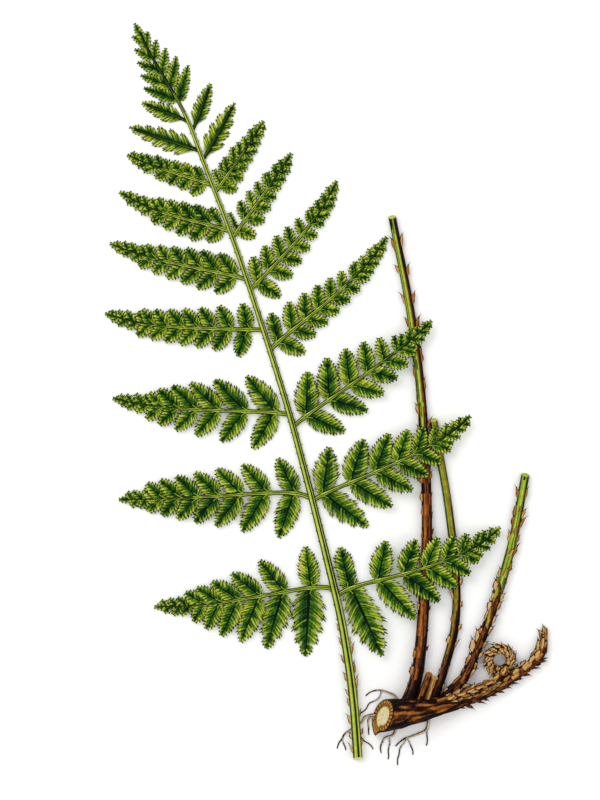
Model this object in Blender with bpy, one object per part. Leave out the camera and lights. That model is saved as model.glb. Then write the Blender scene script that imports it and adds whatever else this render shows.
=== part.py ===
"""A bare-rooted narrow buckler fern: one cut frond beside its rootstock, both lying down.

The plant lies on a level surface at z = 0, with the frond's tip towards +Y. The rootstock's cut
end faces -X, and three cut leaf stalks, two old stubs, a scaly young shoot and a coiled young
frond grow out of its far side. The right-hand leaflets of the frond lie over two of the stalks.
The origin is on the surface, under the middle of the whole plant. Lengths in the tables are
millimetres and angles are degrees.
"""
import math

import bmesh
import bpy
from mathutils import Vector

MM = 0.001
COLLECTION_NAME = "narrow_buckler_fern"

# Clear space between two pieces that touch on the living plant
GAP = 0.3

# The frond's main stalk
FROND_LENGTH = 427.0
STALK_END = 371.0
STALK_BASE_RADIUS = 2.6
STALK_TIP_RADIUS = 1.0
STALK_TAPER = 1.3
STALK_STEP = 13.0
# The stalk lies over two thin roots near its cut end, and comes down to the surface past them
STALK_LIFT = 1.3
STALK_LIFT_SPAN = (34.0, 85.0)
STALK_ROUTE = [
    (16.8, -201.6), (14.4, -170.0), (10.7, -142.2), (4.7, -111.4), (-13.9, -37.1), (-26.5, 7.4),
    (-49.1, 76.7), (-67.7, 126.2), (-78.9, 154.6), (-98.3, 188.4), (-105.6, 204.9),
]

# Ribs and leaflets
RIB_RADIUS_PER_LENGTH = 0.006
RIB_LEAST_ROOT_RADIUS = 0.4
RIB_TIP_RADIUS = 0.3
RIB_STEP = 7.0
RIB_START_STEP = 0.05
# A rib stops this far short of the end of the blade that it runs into
RIB_END_INSIDE = 4.0
LEAFLET_HALF_THICKNESS = 0.5
LEAFLET_THINNING = 0.5
LEAFLET_RINGS = 4
SMALL_LEAFLET_RINGS = 3
SMALL_LEAFLET_LENGTH = 13.0
TIP_BLADE_RINGS = 7
TIP_BLADE_SETBACK = 1.5
TIP_BLADE_NOTCH = 0.22
# The tip blade's relative half width: at its start, how fast it widens, and how it tapers
TIP_BLADE_OUTLINE = (0.55, 2.5, 0.75)
# A leaflet's relative half width: where it is widest, and how full it is there
LEAFLET_OUTLINE = (0.78, 0.62)
LEAST_RELATIVE_WIDTH = 0.03
LEAST_HALF_WIDTH = 0.25
LEAFLET_ROOT_STAGGER = 0.9
LOWEST_BLADE = 0.75
LEAFLET_SLIMNESS = 0.34
LEAFLET_EXTRA_WIDTH = 3.5
RIGHT_UPPER_WIDTH = 0.53
BASAL_LEAFLET_LENGTH = 35.0
BASAL_LEAFLET_WIDTH = 0.47
LEAFLET_DROOP = 0.045
UPPER_CALMING = 0.5
LOWER_CALMING = 0.3
PINNA_ARCH = 0.022
LEAFLET_STALK_CLEARANCE = 0.8

# How soon a rib turns from its starting to its middle heading, and how late to its tip's
RIB_FIRST_TURN = 0.07
RIB_LAST_TURN = 3.0

# Each pinna: side, distance of its foot along the stalk, length, rib headings above the
# horizontal at foot, middle and tip, number of leaflet pairs
PINNA_RIBS = [
    ("right", 91, 99, (43, 13, 45), 6), ("right", 145, 99, (36, 22, 44), 6),
    ("right", 187, 96, (46, 34, 45), 6), ("right", 231, 90, (50, 38, 60), 7),
    ("right", 266, 77, (45, 46, 70), 6), ("right", 296, 57, (59, 54, 58), 5),
    ("right", 323, 47.5, (53, 55, 60), 2), ("right", 342, 36, (56, 61, 62), 0),
    ("right", 359, 28, (62, 68, 73), 0),
    ("left", 95, 100, (22, -11, 2), 6), ("left", 146, 107, (38, -4, 0), 7),
    ("left", 194, 98, (14, 1, 15), 6), ("left", 243, 88, (0, 1, 21), 7),
    ("left", 272, 78, (19, 11, 24), 6), ("left", 300, 65, (24, 13, 38), 5),
    ("left", 327, 50, (22, 17, 27), 4), ("left", 347, 41, (30, 17, 22), 0),
    ("left", 364, 28, (42, 22, 20), 0),
]
# The same pinnae's blades: distances of the first and last leaflet pair from the foot, how much
# closer the pairs stand towards the tip, lengths of the first and last upper leaflet, lengths of
# the first, second and last lower leaflet, angles to the rib of the first and the later upper
# and lower leaflets, and the half width of the undivided tip blade
PINNA_BLADES = [
    ((8.8, 72.5), 0.32, (23.2, 11.7), (41, 29, 10.4), (82, 46), (87, 50), 7.4),
    ((6.6, 72.5), 0.32, (26.5, 10.5), (30, 26, 10.5), (55, 45), (64, 50), 7.0),
    ((9.4, 71.0), 0.32, (24.5, 8.5), (22.5, 21.5, 9.8), (51, 66), (61, 49), 6.4),
    ((6.5, 60.5), 0.10, (16.5, 7.6), (15.6, 12.9, 8.5), (62, 50), (67, 46), 6.4),
    ((5.5, 49.5), 0.10, (14.5, 7.4), (14.8, 12.7, 6.6), (53, 55), (80, 56), 6.2),
    ((4.8, 34.0), 0.10, (11.0, 8.2), (10.4, 10.2, 6.6), (58, 50), (77, 54), 6.4),
    ((4.8, 10.0), 0.0, (9.4, 8.8), (9.4, 9.2, 9.2), (58, 50), (77, 54), 8.0),
    ((1.6, 1.6), 0.0, (0, 0), (0, 0, 0), (50, 50), (50, 50), 6.2),
    ((1.4, 1.4), 0.0, (0, 0), (0, 0, 0), (50, 50), (50, 50), 4.8),
    ((13.0, 72.0), 0.32, (22.8, 12.7), (38, 32.5, 11.0), (88, 35), (81, 56), 7.0),
    ((9.9, 83.0), 0.32, (21.5, 12.0), (26.0, 25.0, 9.6), (56, 47), (79, 47), 6.8),
    ((7.7, 70.5), 0.40, (25.8, 10.4), (23.2, 21.0, 10.2), (46, 40), (65, 50), 6.4),
    ((8.6, 61.0), 0.10, (14.6, 10.2), (15.6, 14.2, 9.8), (78, 47), (75, 47), 6.4),
    ((6.6, 52.3), 0.10, (15.6, 8.8), (13.8, 13.8, 8.8), (40, 44), (56, 50), 6.0),
    ((3.6, 36.3), 0.10, (14.0, 10.0), (11.0, 12.4, 8.6), (38, 42), (57, 55), 6.2),
    ((4.6, 24.5), 0.10, (10.6, 7.6), (9.6, 8.6, 7.4), (36, 44), (64, 56), 6.6),
    ((1.6, 1.6), 0.0, (0, 0), (0, 0, 0), (50, 50), (50, 50), 6.4),
    ((1.4, 1.4), 0.0, (0, 0), (0, 0, 0), (50, 50), (50, 50), 5.2),
]
UPPER_LENGTH_POWER = 1.5

# The undivided top of the frond, whose rib runs on from the stalk
APEX_PAIRS = 5
APEX_ROOTS = (6.0, 44.0)
APEX_RIGHT_LENGTHS = (20.5, 8.6)
APEX_LEFT_LENGTHS = (19.5, 8.6)
APEX_RIGHT_ANGLES = (45, 34)
APEX_LEFT_ANGLES = (42, 31)
APEX_WIDTH = 0.42
APEX_TIP_HALF_WIDTH = 2.8
APEX_TIP_OVERLAP = 2.0
APEX_RIB_END_INSIDE = 3.0

# Where the frond lies over the cut stalks it rises to clear them
RISE_NEAR = 9.0
RISE_FAR = 38.0
RISE_TOP_Y = 62.0
RISE_FULL_Y = 50.0
RISE_HEIGHT_LOW_Y = (-95.0, 7.6)
RISE_HEIGHT_HIGH_Y = (45.0, 6.2)

# Rootstock: a short thick stem that lies along +X, cut across at its left end
ROOTSTOCK_AXIS = [
    (22.0, -178.0, 9.3), (32.0, -176.6, 9.1), (42.0, -175.0, 8.5), (52.0, -173.4, 7.4),
    (62.0, -171.9, 6.1), (70.0, -170.8, 5.0), (76.0, -169.9, 4.2),
]
ROOTSTOCK_RADII = [9.2, 9.2, 8.3, 7.1, 5.6, 3.9, 1.2]
ROOTSTOCK_CUT_POINT = (30.4, -176.8, 9.2)
ROOTSTOCK_CUT_NORMAL = (-0.84, 0.20, 0.50)

# Cut stalks, stubs and young shoot: plan route from inside the rootstock outwards, radii at
# the foot and the end, height of the foot's axis, and the length over which the stem comes
# down to the surface (0 for one that stays up)
STEMS = {
    "stipe_tall": {
        "route": [(42.0, -174.0), (45.7, -165.8), (50.0, -149.0), (53.0, -115.0), (54.6, -67.4),
                  (51.8, -5.6), (45.6, 44.9), (35.3, 98.0)],
        "radii": (3.5, 2.1), "foot": 6.2, "settle": 60.0, "rise": 0.0,
    },
    "stipe_middle": {
        "route": [(56.0, -171.5), (59.6, -164.5), (65.5, -147.2), (70.3, -126.2), (70.5, -99.2),
                  (65.7, -57.1), (57.9, -13.6)],
        "radii": (2.4, 2.2), "foot": 2.7, "settle": 30.0, "rise": 0.0,
    },
    "stipe_right": {
        "route": [(62.8, -171.0), (67.4, -164.2), (75.2, -155.6), (84.7, -134.6), (93.4, -110.7),
                  (102.0, -80.0), (108.9, -43.7)],
        "radii": (2.9, 2.3), "foot": 4.4, "settle": 45.0, "rise": 0.0,
    },
    "old_stub_left": {
        "route": [(47.6, -175.5), (50.9, -166.5), (56.0, -152.7)],
        "radii": (2.2, 1.9), "foot": 10.6, "settle": 0.0, "rise": 2.0,
    },
    "old_stub_right": {
        "route": [(52.4, -174.5), (55.0, -167.0), (59.0, -154.8)],
        "radii": (2.3, 2.1), "foot": 6.8, "settle": 0.0, "rise": -0.4,
    },
    "young_shoot": {
        "route": [(63.0, -172.4), (72.4, -169.8), (88.5, -164.0), (105.3, -153.4), (113.7, -146.9),
                  (118.9, -139.6), (119.8, -131.2)],
        "radii": (2.7, 1.2), "foot": 3.9, "settle": 25.0, "rise": 0.0,
    },
}
SHOOT_WAIST = 0.82
STEM_STEP = 11.0

# Coiled young frond: a stalk that lies on the young shoot and ends in a tilted ring
CROZIER_ROUTE = [
    (60.5, -169.0, 9.6), (67.4, -166.8, 10.6), (75.9, -164.0, 9.8), (84.3, -160.9, 8.6),
    (92.7, -156.8, 7.6), (97.6, -151.6, 6.4),
]
CROZIER_RADII = (2.3, 2.1)
COIL_CENTRE = (94.4, -146.2, 4.6)
COIL_RING_RADIUS = 5.9
COIL_TUBE_RADIUS = 2.8
COIL_TILT = 14.0
COIL_TILT_HEADING = -60.0

# Thin roots that lie on the surface: foot height, then plan routes of the root and its branches
ROOT_RADII = (0.55, 0.28)
ROOT_STEP = 4.0
# A root comes down to the surface in this distance, and its branches start a hair higher
ROOT_DROP = 9.0
ROOT_BRANCH_LIFT = 0.02
ROOT_BRANCH_THICKNESS = 0.7
ROOTS = {
    "root_upper": (4.0, [
        [(42.0, -171.5), (36.5, -166.0), (29.5, -163.2), (23.6, -164.1), (21.1, -166.2)],
        [(29.5, -163.3), (28.3, -167.5), (23.6, -170.0), (21.4, -173.0), (18.0, -176.4)],
    ]),
    "root_left": (3.4, [
        [(31.5, -176.0), (22.0, -177.2), (18.4, -180.9), (12.7, -184.6), (8.5, -188.5), (5.1, -195.2)],
        [(15.0, -183.2), (18.6, -189.4), (22.8, -192.7), (25.4, -195.6)],
        [(8.5, -188.4), (8.6, -192.0), (10.2, -196.1)],
    ]),
    "root_small": (2.6, [
        [(31.5, -180.0), (25.0, -177.8), (22.4, -180.4), (22.9, -187.6)],
    ]),
    "root_lower": (2.2, [
        [(40.5, -177.5), (38.4, -183.4), (36.3, -187.6), (32.1, -189.3), (29.5, -192.6), (29.5, -197.7)],
        [(34.6, -188.4), (33.8, -194.4), (33.3, -201.1)],
    ]),
    "root_right": (2.2, [
        [(55.2, -175.0), (54.8, -184.3), (46.4, -188.5), (41.4, -190.2), (37.6, -194.0)],
        [(44.0, -189.2), (39.7, -196.1), (38.4, -204.4)],
        [(43.4, -189.3), (46.4, -194.5), (46.8, -198.6)],
        [(54.7, -183.2), (54.9, -188.0), (54.5, -193.6)],
    ]),
}

COLOURS = {
    "leaf": ((0.115, 0.245, 0.045, 1.0), 0.55),
    "green_stalk": ((0.270, 0.400, 0.100, 1.0), 0.45),
    "brown_stalk": ((0.180, 0.075, 0.030, 1.0), 0.60),
    "olive_stalk": ((0.230, 0.260, 0.050, 1.0), 0.50),
    "rootstock": ((0.100, 0.045, 0.020, 1.0), 0.80),
    "old_stub": ((0.380, 0.190, 0.070, 1.0), 0.75),
    "scaly": ((0.330, 0.170, 0.060, 1.0), 0.80),
    "root": ((0.560, 0.460, 0.310, 1.0), 0.75),
}


def smoothstep(low, high, value):
    """Ease from 0 at low to 1 at high."""
    share = min(1.0, max(0.0, (value - low) / (high - low)))
    return share * share * (3.0 - 2.0 * share)


class Route:
    """A smooth curve through a few points, read by distance along it."""

    def __init__(self, points, fine=10):
        points = [Vector(point).to_3d() for point in points]
        padded = [points[0] * 2 - points[1]] + points + [points[-1] * 2 - points[-2]]
        self.dots = []
        for before, start, end, after in zip(padded, padded[1:], padded[2:], padded[3:]):
            for step in range(fine):
                self.dots.append(self.between(before, start, end, after, step / fine))
        self.dots.append(points[-1])
        self.marks = [0.0]
        for one, two in zip(self.dots, self.dots[1:]):
            self.marks.append(self.marks[-1] + (two - one).length)
        self.length = self.marks[-1]

    @staticmethod
    def between(before, start, end, after, share):
        """Catmull-Rom point between start and end."""
        return 0.5 * (
            2.0 * start
            + (end - before) * share
            + (2.0 * before - 5.0 * start + 4.0 * end - after) * share ** 2
            + (3.0 * start - before - 3.0 * end + after) * share ** 3
        )

    def at(self, distance):
        """The point this far along, straight on past either end."""
        index = 1
        while index < len(self.marks) - 1 and self.marks[index] < distance:
            index += 1
        one = self.dots[index - 1]
        two = self.dots[index]
        share = (distance - self.marks[index - 1]) / (self.marks[index] - self.marks[index - 1])
        return one.lerp(two, share)

    def heading(self, distance):
        """Direction in plan, in degrees from +X."""
        ahead = self.at(distance + 0.5) - self.at(distance - 0.5)
        return math.degrees(math.atan2(ahead.y, ahead.x))

    def plan_distance(self, x, y):
        """How far a point in plan is from the curve."""
        return min(math.hypot(dot.x - x, dot.y - y) for dot in self.dots)


def make_materials():
    """One plain material for each finish."""
    made = {}
    for name, (colour, roughness) in COLOURS.items():
        material = bpy.data.materials.new(name)
        material.use_nodes = True
        shader = material.node_tree.nodes["Principled BSDF"]
        shader.inputs["Base Color"].default_value = colour
        shader.inputs["Roughness"].default_value = roughness
        shader.inputs["Metallic"].default_value = 0.0
        material.diffuse_color = colour
        made[name] = material
    return made


def clear_scene():
    """Remove what the file opened with."""
    for thing in list(bpy.data.objects):
        bpy.data.objects.remove(thing, do_unlink=True)


def link_mesh(name, mesh, collection):
    """A new object for a mesh, in a collection."""
    thing = bpy.data.objects.new(name, mesh)
    collection.objects.link(thing)
    return thing


def tube(name, points, radii, resolution, collection):
    """A closed tube of changing radius along points given in millimetres."""
    curve = bpy.data.curves.new(name + "_curve", "CURVE")
    curve.dimensions = "3D"
    curve.twist_mode = "Z_UP"
    curve.bevel_depth = MM
    curve.bevel_resolution = resolution
    curve.use_fill_caps = True
    spline = curve.splines.new("POLY")
    spline.points.add(len(points) - 1)
    corner_turn = math.pi / (4 + 2 * resolution)
    for spot, point, radius in zip(spline.points, points, radii):
        spot.co = (point[0] * MM, point[1] * MM, point[2] * MM, 1.0)
        spot.radius = radius
        spot.tilt = corner_turn
    drawn = bpy.data.objects.new(name + "_drawn", curve)
    collection.objects.link(drawn)
    bpy.context.view_layer.update()
    evaluated = drawn.evaluated_get(bpy.context.evaluated_depsgraph_get())
    mesh = bpy.data.meshes.new_from_object(evaluated)
    made = link_mesh(name, mesh, collection)
    made.matrix_world = drawn.matrix_world
    bpy.data.objects.remove(drawn, do_unlink=True)
    shell = bmesh.new()
    shell.from_mesh(mesh)
    bmesh.ops.remove_doubles(shell, verts=shell.verts, dist=0.00001)
    bmesh.ops.recalc_face_normals(shell, faces=shell.faces)
    shell.to_mesh(mesh)
    shell.free()
    return made


def blade(name, axis, half_width, rings, height, collection):
    """A thin pointed blade: a four-sided sphere drawn out along an axis in plan.

    axis(share) gives a plan point and the sideways direction there, half_width(share) and
    height(share, x, y) are in millimetres.
    """
    shell = bmesh.new()
    segments = rings + 1
    bmesh.ops.create_uvsphere(shell, u_segments=4, v_segments=segments, radius=1.0)
    for vert in shell.verts:
        ring = math.acos(max(-1.0, min(1.0, vert.co.z))) / math.pi * segments
        share = round(ring) / segments
        reach = math.hypot(vert.co.x, vert.co.y)
        across = 0.0
        up = 0.0
        if reach > 0.01:
            across = round(vert.co.x / reach) * half_width(share)
            thinning = 1.0 - LEAFLET_THINNING * share
            up = round(vert.co.y / reach) * LEAFLET_HALF_THICKNESS * thinning
        centre, sideways = axis(share)
        x = centre[0] + sideways[0] * across
        y = centre[1] + sideways[1] * across
        vert.co = Vector((x, y, height(share, x, y) + up)) * MM
    bmesh.ops.recalc_face_normals(shell, faces=shell.faces)
    mesh = bpy.data.meshes.new(name)
    shell.to_mesh(mesh)
    shell.free()
    return link_mesh(name, mesh, collection)


def boolean(target, operation, collection=None, cutter=None, solver="EXACT"):
    """Apply one Boolean to an object's mesh."""
    modifier = target.modifiers.new("joined", "BOOLEAN")
    modifier.operation = operation
    modifier.solver = solver
    if collection is None:
        modifier.object = cutter
    else:
        modifier.operand_type = "COLLECTION"
        modifier.collection = collection
    bpy.context.view_layer.update()
    evaluated = target.evaluated_get(bpy.context.evaluated_depsgraph_get())
    mesh = bpy.data.meshes.new_from_object(evaluated)
    target.modifiers.remove(modifier)
    old = target.data
    target.data = mesh
    mesh.name = target.name
    bpy.data.meshes.remove(old)


def join_all(base, pieces_collection):
    """Union of a base object with every object of a collection, which is then emptied."""
    boolean(base, "UNION", collection=pieces_collection)
    for piece in list(pieces_collection.objects):
        bpy.data.objects.remove(piece, do_unlink=True)


def stalk_radius(distance):
    """Radius of the frond's stalk at a distance from its cut end."""
    share = max(0.0, 1.0 - distance / FROND_LENGTH)
    return STALK_TIP_RADIUS + (STALK_BASE_RADIUS - STALK_TIP_RADIUS) * share ** STALK_TAPER


def stalk_height(distance):
    """Height of the stalk's axis: it lies on the surface, but over two roots near its foot."""
    lift = STALK_LIFT * (1.0 - smoothstep(*STALK_LIFT_SPAN, distance))
    return stalk_radius(distance) + lift


class Frond:
    """The frond's stalk, ribs and blades."""

    def __init__(self, parts, loose, materials):
        self.parts = parts
        self.loose = loose
        self.materials = materials
        self.stalk = Route(STALK_ROUTE, fine=60)
        self.under = [Route(STEMS["stipe_tall"]["route"]), Route(STEMS["stipe_middle"]["route"])]

    def raised(self, height, x, y):
        """A blade height, raised where the frond lies over the cut stalks."""
        near = min(route.plan_distance(x, y) for route in self.under)
        share = 1.0 - smoothstep(RISE_NEAR, RISE_FAR, near)
        share *= 1.0 - smoothstep(RISE_FULL_Y, RISE_TOP_Y, y)
        low_y, low_height = RISE_HEIGHT_LOW_Y
        high_y, high_height = RISE_HEIGHT_HIGH_Y
        along = min(1.0, max(0.0, (y - low_y) / (high_y - low_y)))
        top = low_height + (high_height - low_height) * along
        return height + (max(top, height) - height) * share

    def build_stalk(self):
        """The main stalk, from its cut end to where the undivided tip begins."""
        count = round(STALK_END / STALK_STEP) + 1
        points = []
        radii = []
        for index in range(count):
            distance = STALK_END * index / (count - 1)
            spot = self.stalk.at(distance)
            points.append((spot.x, spot.y, stalk_height(distance)))
            radii.append(stalk_radius(distance))
        made = tube("frond_stalk", points, radii, 2, self.parts)
        made.data.materials.append(self.materials["green_stalk"])

    def rib_path(self, side, foot, length, headings):
        """Plan points along a rib, one each millimetre, from the stalk's axis to its tip."""
        start, middle, tip = headings
        spot = self.stalk.at(foot)
        points = [(spot.x, spot.y)]
        steps = round(length)
        for step in range(steps):
            share = (step + 0.5) / steps
            angle = middle + (start - middle) * math.exp(-share / RIB_FIRST_TURN)
            angle += (tip - middle) * share ** RIB_LAST_TURN
            if side == "left":
                angle = 180.0 - angle
            turn = math.radians(angle)
            x, y = points[-1]
            points.append((x + math.cos(turn) * length / steps, y + math.sin(turn) * length / steps))
        return Route(points, fine=1)

    def rib_start(self, rib, foot, root_radius):
        """Distance along a rib at which its flat foot lies just clear of the stalk."""
        start = 0.0
        clear = 0.0
        while clear < GAP:
            start += RIB_START_STEP
            spot = rib.at(start)
            crossing = math.radians(rib.heading(start) - self.stalk.heading(foot))
            corner = root_radius * abs(math.cos(crossing))
            clear = self.stalk.plan_distance(spot.x, spot.y) - stalk_radius(foot) - corner
        return start

    def leaflet_axis(self, root, angle, length):
        """Axis function of a straight leaflet."""
        turn = math.radians(angle)
        along = (math.cos(turn), math.sin(turn))
        sideways = (-along[1], along[0])

        def axis(share):
            return (root.x + along[0] * length * share, root.y + along[1] * length * share), sideways
        return axis

    def clear_width(self, axis, wanted, foot):
        """Half width function that keeps a leaflet's edges clear of the main stalk."""
        def half_width(share):
            (x, y), _ = axis(share)
            room = self.stalk.plan_distance(x, y) - stalk_radius(foot) - LEAFLET_STALK_CLEARANCE
            return min(wanted * leaflet_outline(share), max(LEAST_HALF_WIDTH, room))
        return half_width

    def add_leaflet(self, name, root, angle, length, width_ratio, height, foot):
        """One ovate leaflet whose foot is sunk in the rib and whose tip droops a little."""
        axis = self.leaflet_axis(root, angle, length)
        width = self.clear_width(axis, length * width_ratio / 2.0, foot)

        def level(share, x, y):
            return self.raised(max(LOWEST_BLADE, height - LEAFLET_DROOP * length * share), x, y)
        rings = SMALL_LEAFLET_RINGS if length < SMALL_LEAFLET_LENGTH else LEAFLET_RINGS
        blade(name, axis, width, rings, level, self.loose)

    def add_tip_blade(self, name, rib, start, half_width, height_at, whole):
        """The undivided, toothed end of a pinna, or the whole of a small one."""
        length = rib.length - start

        def axis(share):
            spot = rib.at(start + length * share)
            turn = math.radians(rib.heading(min(start + length * share, rib.length - 0.6)) + 90.0)
            return (spot.x, spot.y), (math.cos(turn), math.sin(turn))

        def width(share):
            notch = 1.0 - TIP_BLADE_NOTCH * (round(share * (TIP_BLADE_RINGS + 1)) % 2)
            spread = leaflet_outline(share) if whole else tip_outline(share)
            return max(LEAST_HALF_WIDTH, half_width * spread * notch)

        def level(share, x, y):
            return self.raised(height_at((start + length * share) / rib.length), x, y)
        blade(name, axis, width, TIP_BLADE_RINGS, level, self.loose)

    def build_pinna(self, name, rib_sizes, blade_sizes):
        """One pinna: its rib, its leaflet pairs and its undivided tip, fused."""
        side, foot, length, headings, pairs = rib_sizes
        roots, crowding, upper, lower, upper_angles, lower_angles, tip = blade_sizes
        rib = self.rib_path(side, foot, length, headings)
        up = 1.0 if side == "right" else -1.0
        root_radius = RIB_LEAST_ROOT_RADIUS + RIB_RADIUS_PER_LENGTH * length
        foot_height = stalk_height(foot)

        def flat_height(share):
            arch = PINNA_ARCH * length * math.sin(math.pi * share)
            return foot_height + (LOWEST_BLADE - foot_height) * share + arch

        start = self.rib_start(rib, foot, root_radius)
        end = length - RIB_END_INSIDE
        count = max(3, round((end - start) / RIB_STEP))
        points = []
        radii = []
        for index in range(count + 1):
            share = index / count
            distance = start + (end - start) * share
            spot = rib.at(distance)
            height = self.raised(flat_height(distance / length), spot.x, spot.y)
            points.append((spot.x, spot.y, height))
            radii.append(root_radius + (RIB_TIP_RADIUS - root_radius) * share)
        base = tube(name, points, radii, 0, self.parts)

        for index in range(pairs):
            share = index / (pairs - 1)
            distance = roots[0] + (roots[1] - roots[0]) * (share + crowding * share * (1.0 - share))
            later = (index - 1) / max(1, pairs - 2)
            lower_length = lower[0] if index == 0 else lower[1] + (lower[2] - lower[1]) * later
            upper_length = upper[0] + (upper[1] - upper[0]) * share ** UPPER_LENGTH_POWER
            upper_angle = upper_angles[1] + (upper_angles[0] - upper_angles[1]) * UPPER_CALMING ** index
            lower_angle = lower_angles[1] + (lower_angles[0] - lower_angles[1]) * LOWER_CALMING ** index
            heading = rib.heading(distance)
            level = flat_height(distance / length)
            self.add_leaflet(f"{name}_u{index}", rib.at(distance), heading + up * upper_angle,
                             upper_length, leaflet_width(upper_length, side == "right"), level, foot)
            self.add_leaflet(f"{name}_d{index}", rib.at(distance + LEAFLET_ROOT_STAGGER),
                             heading - up * lower_angle, lower_length,
                             leaflet_width(lower_length, False), level, foot)
        blade_start = roots[1] + TIP_BLADE_SETBACK
        self.add_tip_blade(name + "_tip", rib, blade_start, tip, flat_height, pairs == 0)
        join_all(base, self.loose)
        base.data.materials.append(self.materials["leaf"])

    def build_apex(self):
        """The top of the frond, a rib with simple lobes that grow shorter to the tip."""
        start = STALK_END + GAP
        rib = Route([self.stalk.at(start + step) for step in range(round(FROND_LENGTH - start))], fine=1)
        level = LOWEST_BLADE
        count = round(rib.length / RIB_STEP)
        points = []
        radii = []
        for index in range(count):
            share = index / (count - 1)
            spot = rib.at(share * (rib.length - APEX_RIB_END_INSIDE))
            points.append((spot.x, spot.y, stalk_height(STALK_END) * (1 - share) + level * share))
            radii.append(stalk_radius(STALK_END) + (RIB_TIP_RADIUS - stalk_radius(STALK_END)) * share)
        base = tube("frond_apex", points, radii, 0, self.parts)
        for index in range(APEX_PAIRS):
            share = index / (APEX_PAIRS - 1)
            distance = APEX_ROOTS[0] + (APEX_ROOTS[1] - APEX_ROOTS[0]) * share
            height = points[min(count - 1, round(distance / RIB_STEP))][2]
            for turn, lengths, angles in ((-1.0, APEX_RIGHT_LENGTHS, APEX_RIGHT_ANGLES),
                                          (1.0, APEX_LEFT_LENGTHS, APEX_LEFT_ANGLES)):
                length = lengths[0] + (lengths[1] - lengths[0]) * share
                heading = rib.heading(distance) + turn * (angles[0] + (angles[1] - angles[0]) * share)
                shift = LEAFLET_ROOT_STAGGER if turn > 0 else 0.0
                axis = self.leaflet_axis(rib.at(distance + shift), heading, length)

                def half_width(part, full=length * APEX_WIDTH / 2.0):
                    return full * leaflet_outline(part)

                def lobe_level(share, x, y, flat=height):
                    return flat
                blade(f"apex_{index}_{int(turn)}", axis, half_width, LEAFLET_RINGS, lobe_level, self.loose)
        self.add_tip_blade("apex_tip", rib, APEX_ROOTS[1] - APEX_TIP_OVERLAP, APEX_TIP_HALF_WIDTH,
                           lambda share: level, True)
        join_all(base, self.loose)
        base.data.materials.append(self.materials["leaf"])

    def build(self):
        """Stalk, pinnae numbered from the foot of the frond on each side, and the tip."""
        self.build_stalk()
        numbers = {"left": 0, "right": 0}
        for rib_sizes, blade_sizes in zip(PINNA_RIBS, PINNA_BLADES):
            side = rib_sizes[0]
            numbers[side] += 1
            self.build_pinna(f"pinna_{side}_{numbers[side]}", rib_sizes, blade_sizes)
        self.build_apex()


def leaflet_outline(share):
    """Relative half width of an ovate leaflet, widest two fifths of the way along."""
    if share <= 0.0 or share >= 1.0:
        return LEAST_RELATIVE_WIDTH
    skew, fullness = LEAFLET_OUTLINE
    return max(LEAST_RELATIVE_WIDTH, math.sin(math.pi * share ** skew) ** fullness)


def tip_outline(share):
    """Relative half width of the undivided end of a pinna, widest near its start."""
    start, widening, taper = TIP_BLADE_OUTLINE
    return max(LEAST_RELATIVE_WIDTH, min(1.0, start + widening * share) * (1.0 - share) ** taper)


def leaflet_width(length, right_upper):
    """Width of a leaflet as a share of its length: short ones are broader."""
    if right_upper:
        return RIGHT_UPPER_WIDTH
    if length > BASAL_LEAFLET_LENGTH:
        return BASAL_LEAFLET_WIDTH
    return LEAFLET_SLIMNESS + LEAFLET_EXTRA_WIDTH / length


def build_rootstock(name, grow, collection):
    """The rootstock, or the same shape grown by a clearance to cut its neighbours with."""
    radii = [radius + grow for radius in ROOTSTOCK_RADII]
    end = Vector(ROOTSTOCK_AXIS[-1])
    end += (end - Vector(ROOTSTOCK_AXIS[-2])).normalized() * grow
    made = tube(name, ROOTSTOCK_AXIS[:-1] + [tuple(end)], radii, 4, collection)
    normal = Vector(ROOTSTOCK_CUT_NORMAL).normalized()
    shell = bmesh.new()
    shell.from_mesh(made.data)
    cut = bmesh.ops.bisect_plane(
        shell, geom=shell.verts[:] + shell.edges[:] + shell.faces[:],
        plane_co=(Vector(ROOTSTOCK_CUT_POINT) + normal * grow) * MM, plane_no=normal, clear_outer=True)
    rim = [item for item in cut["geom_cut"] if isinstance(item, bmesh.types.BMEdge)]
    bmesh.ops.contextual_create(shell, geom=rim)
    bmesh.ops.recalc_face_normals(shell, faces=shell.faces)
    shell.to_mesh(made.data)
    shell.free()
    return made


def stem_radius(name, radii, share):
    """Even taper, but the young shoot keeps its width and then comes to a point."""
    foot, end = radii
    if name == "young_shoot":
        return foot + (end - foot) * smoothstep(SHOOT_WAIST, 1.0, share)
    return foot + (end - foot) * share


def build_stems(parts, rootstock_cutter, materials):
    """Cut stalks, old stubs and the young shoot, each cut clear of the rootstock."""
    finishes = {
        "stipe_tall": "brown_stalk", "stipe_middle": "olive_stalk", "stipe_right": "olive_stalk",
        "old_stub_left": "old_stub", "old_stub_right": "old_stub", "young_shoot": "scaly",
    }
    for name, stem in STEMS.items():
        route = Route(stem["route"])
        count = max(4, round(route.length / STEM_STEP)) + 1
        points = []
        radii = []
        for index in range(count):
            share = index / (count - 1)
            spot = route.at(route.length * share)
            radius = stem_radius(name, stem["radii"], share)
            if stem["settle"] > 0.0:
                down = smoothstep(0.0, stem["settle"], route.length * share)
                height = stem["foot"] + (radius - stem["foot"]) * down
            else:
                height = stem["foot"] + stem["rise"] * share
            points.append((spot.x, spot.y, height))
            radii.append(radius)
        made = tube(name, points, radii, 2, parts)
        boolean(made, "DIFFERENCE", cutter=rootstock_cutter)
        made.data.materials.append(materials[finishes[name]])


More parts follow.
